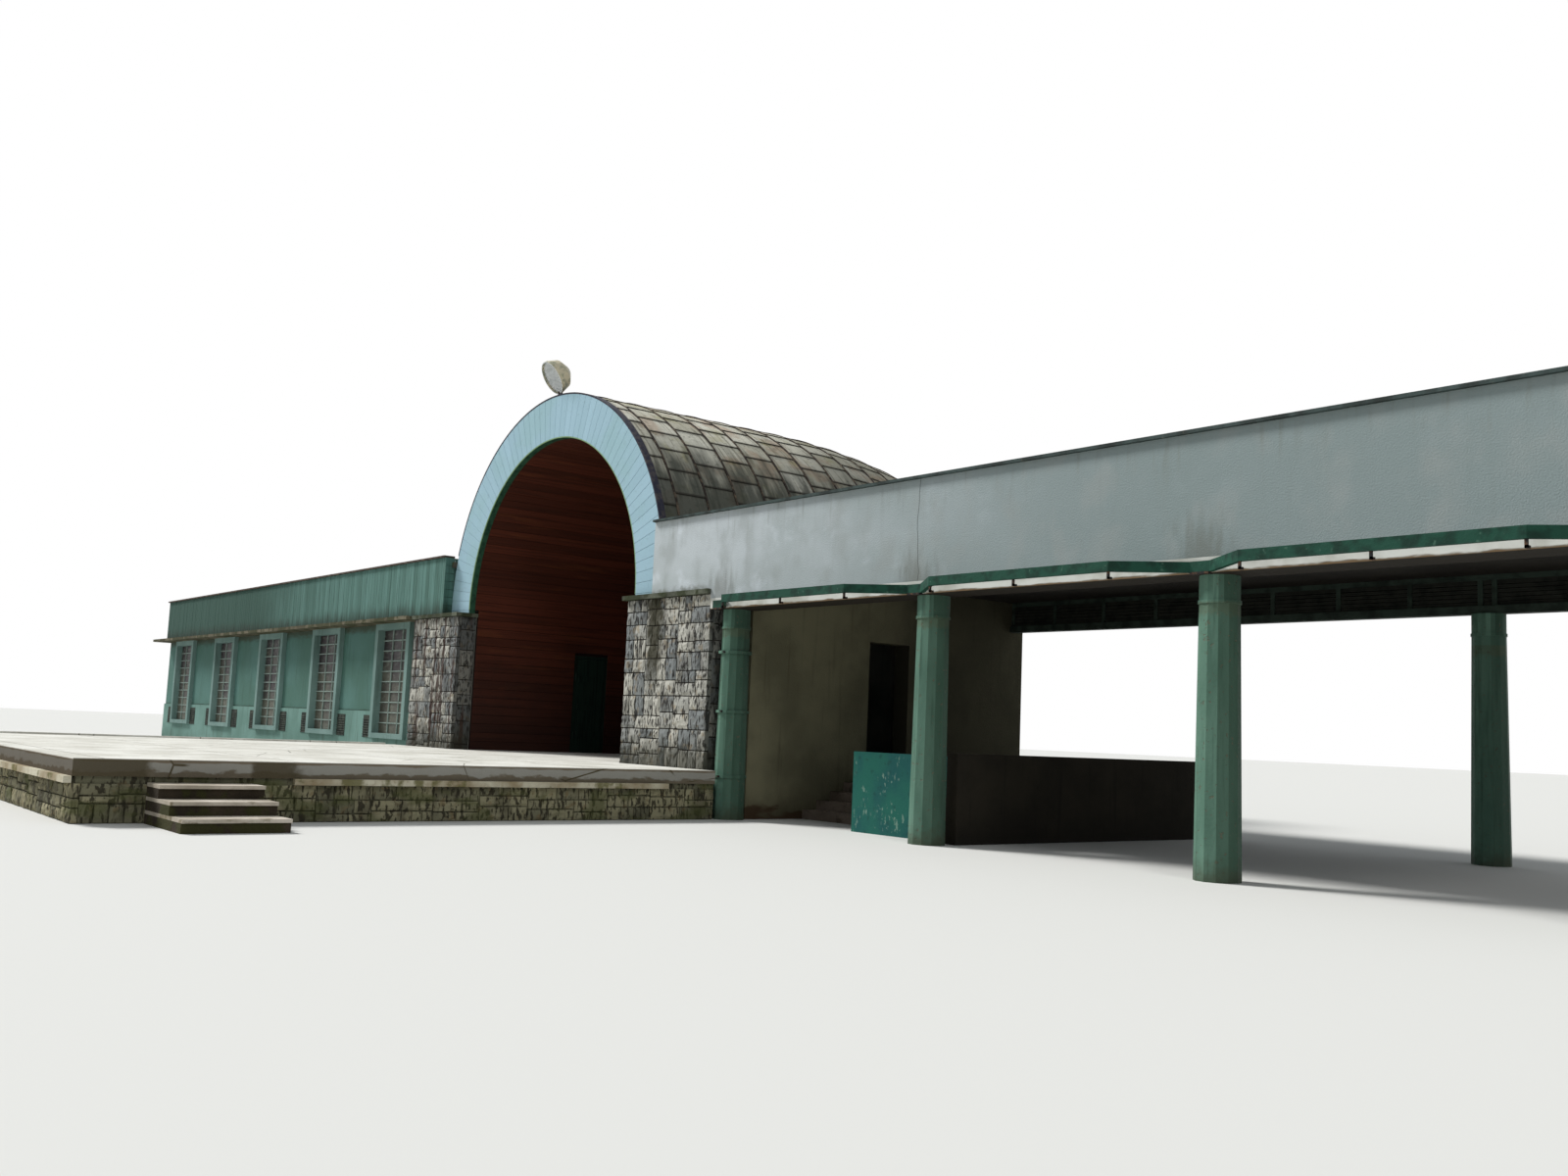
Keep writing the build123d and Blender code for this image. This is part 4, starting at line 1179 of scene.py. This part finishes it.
# Awning rail: one bent steel band, dark green and chipped, bolted to the lintel over each column,
# with small hooks below it that once held the awning.
rail_low, rail_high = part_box("awning_rail")
rail_bays = 3
rail_corner = 0.42
hook_reach = 0.042
hook_size = 0.014
hook_foot_reach = 0.034
hook_thickness = 0.012
hook_inset = 0.006
hook_lap = 0.004
plate_half = 0.06
plate_thickness = 0.012
plate_insets = (0.034, 0.001)

rail_paint = two_tone(
    "rail_paint", srgb(30, 70, 56), srgb(22, 50, 40), (0.08, 5, 0.42, 0.66), 0.6, (0.02, 4)
)
rail_paint.blots((0.03, 4, 0.64, 0.74, 3), 0.5, srgb(84, 116, 100))
dress(rail_paint, "awning_rail")

hooks = new_work()
face = rail_low.y + hook_inset
hook_low = rail_low.z - hook_reach
for bay in range(rail_bays):
    column_x = column_first + bay * bay_length
    for along in (rail_corner, bay_length / 2, bay_length - rail_corner):
        x = column_x + along - hook_size / 2
        hook_top = (x + hook_size, face + hook_thickness, rail_low.z + hook_lap)
        block(hooks, (x, face, hook_low), hook_top)
        hook_end = (x + hook_size, face + hook_foot_reach, hook_low + hook_size)
        block(hooks, (x, face, hook_low), hook_end)
    block(
        hooks,
        (column_x - plate_half, rail_high.y - plate_insets[0], rail_low.z - plate_thickness),
        (column_x + plate_half, rail_high.y - plate_insets[1], rail_low.z),
    )
put(hooks, "rail_hooks", dark_steel)


# Rear row: a beam, posts and a top rail painted grey-green, and dark panels between them, louvred
# with thin leaning slats on both faces.
frame_paint = two_tone(
    "rear_frame_paint",
    srgb(58, 70, 62),
    srgb(42, 50, 44),
    (0.12, 5, 0.4, 0.66),
    0.7,
    ((0.3, 0.02, 0.02), 4),
)
dress(frame_paint, "rear_frame")
panel_dark = two_tone("louvre_panels", srgb(46, 47, 42), srgb(30, 32, 29), (0.1, 5, 0.4, 0.7), 0.75)
dress(panel_dark, "rear_panels")

panel_low, panel_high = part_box("rear_panels")
louvre_slat = ((-0.008, -0.002), (0.008, 0.002))
louvre_slat_pitch = 0.03
slats = new_work()
z = panel_low.z + louvre_slat_pitch
while z < panel_high.z - louvre_slat_pitch / 2:
    for face, way in ((panel_low.y, 1), (panel_high.y, -1)):
        verts = block(slats, (panel_low.x, *louvre_slat[0]), (panel_high.x, *louvre_slat[1]))
        lean_slat(slats, verts, face, z, way)
    z += louvre_slat_pitch
put(slats, "rear_louvres", panel_dark)


# Side room and terrace: stained render round an open doorway, a painted screen panel, and a low
# dark wall at the edge of the terrace.
room_render = old_render("room_render", srgb(122, 118, 94), srgb(104, 101, 80), srgb(68, 63, 47), 0.35)
room_y, room_z = room_render.axis("Y"), room_render.axis("Z")
# The doorway's reveals, faces that look along Y, are painted dark as shade.
doorway_reveal_shade = room_render.rise(room_render.size_of(room_render.facing("Y")), 0.6, 0.9)
doorway_reveal_shade = doorway_reveal_shade * room_render.rise(room_y, 0.5, 0.6) * room_render.rise(room_y, 3.4, 3.3)
room_render.stain(doorway_reveal_shade * 0.9, srgb(26, 24, 20))
# Darker deeper in along Y: painted shade.
deep_in_shade = room_render.ragged(room_y, 0.5, 4, 0.8, 1.3, 2.8)
room_render.stain(deep_in_shade * 0.75, srgb(46, 44, 35))
broken = room_render.ragged(room_z, (0.3, 0.3, 0.12), 5, 0.3, 0.24, 0.2)
broken = broken * room_render.ragged(room_y, 0.2, 4, 0.3, 0.2, 0.3)
room_render.stain(broken * 0.85, srgb(66, 48, 34))
dress(room_render, "side_room_walls")
terrace_concrete = old_concrete(
    "terrace_concrete", srgb(146, 132, 120), srgb(108, 96, 84), srgb(70, 62, 46), 0.2
)
# Faces that do not look up, the risers, are painted darker as shade.
terrace_riser_shade = terrace_concrete.rise(terrace_concrete.facing("Z"), 0.9, 0.5)
terrace_concrete.stain(terrace_riser_shade * 0.6, srgb(74, 64, 54))
dress(terrace_concrete, "terrace_steps")

panel_paint = two_tone(
    "panel_paint",
    srgb(36, 98, 86),
    srgb(32, 86, 84),
    ((0.2, 0.2, 0.3), 5, 0.4, 0.64),
    0.65,
    (0.03, 4),
)
panel_paint.blots((0.05, 5, 0.6, 0.7), 0.5, srgb(28, 62, 60))
chipped_part = panel_paint.clouds(0.22, 3, 0.52, 0.62, shift=2)
panel_chips = panel_paint.clouds((0.02, 0.02, 0.04), 8, 0.56, 0.6, shift=4)
panel_paint.stain(panel_chips * chipped_part * 0.7, srgb(130, 156, 142))
dress(panel_paint, "terrace_panel")

low_wall = old_render("low_wall", srgb(46, 42, 34), srgb(36, 33, 27), srgb(26, 24, 20), 0.5)
dress(low_wall, "terrace_wall")
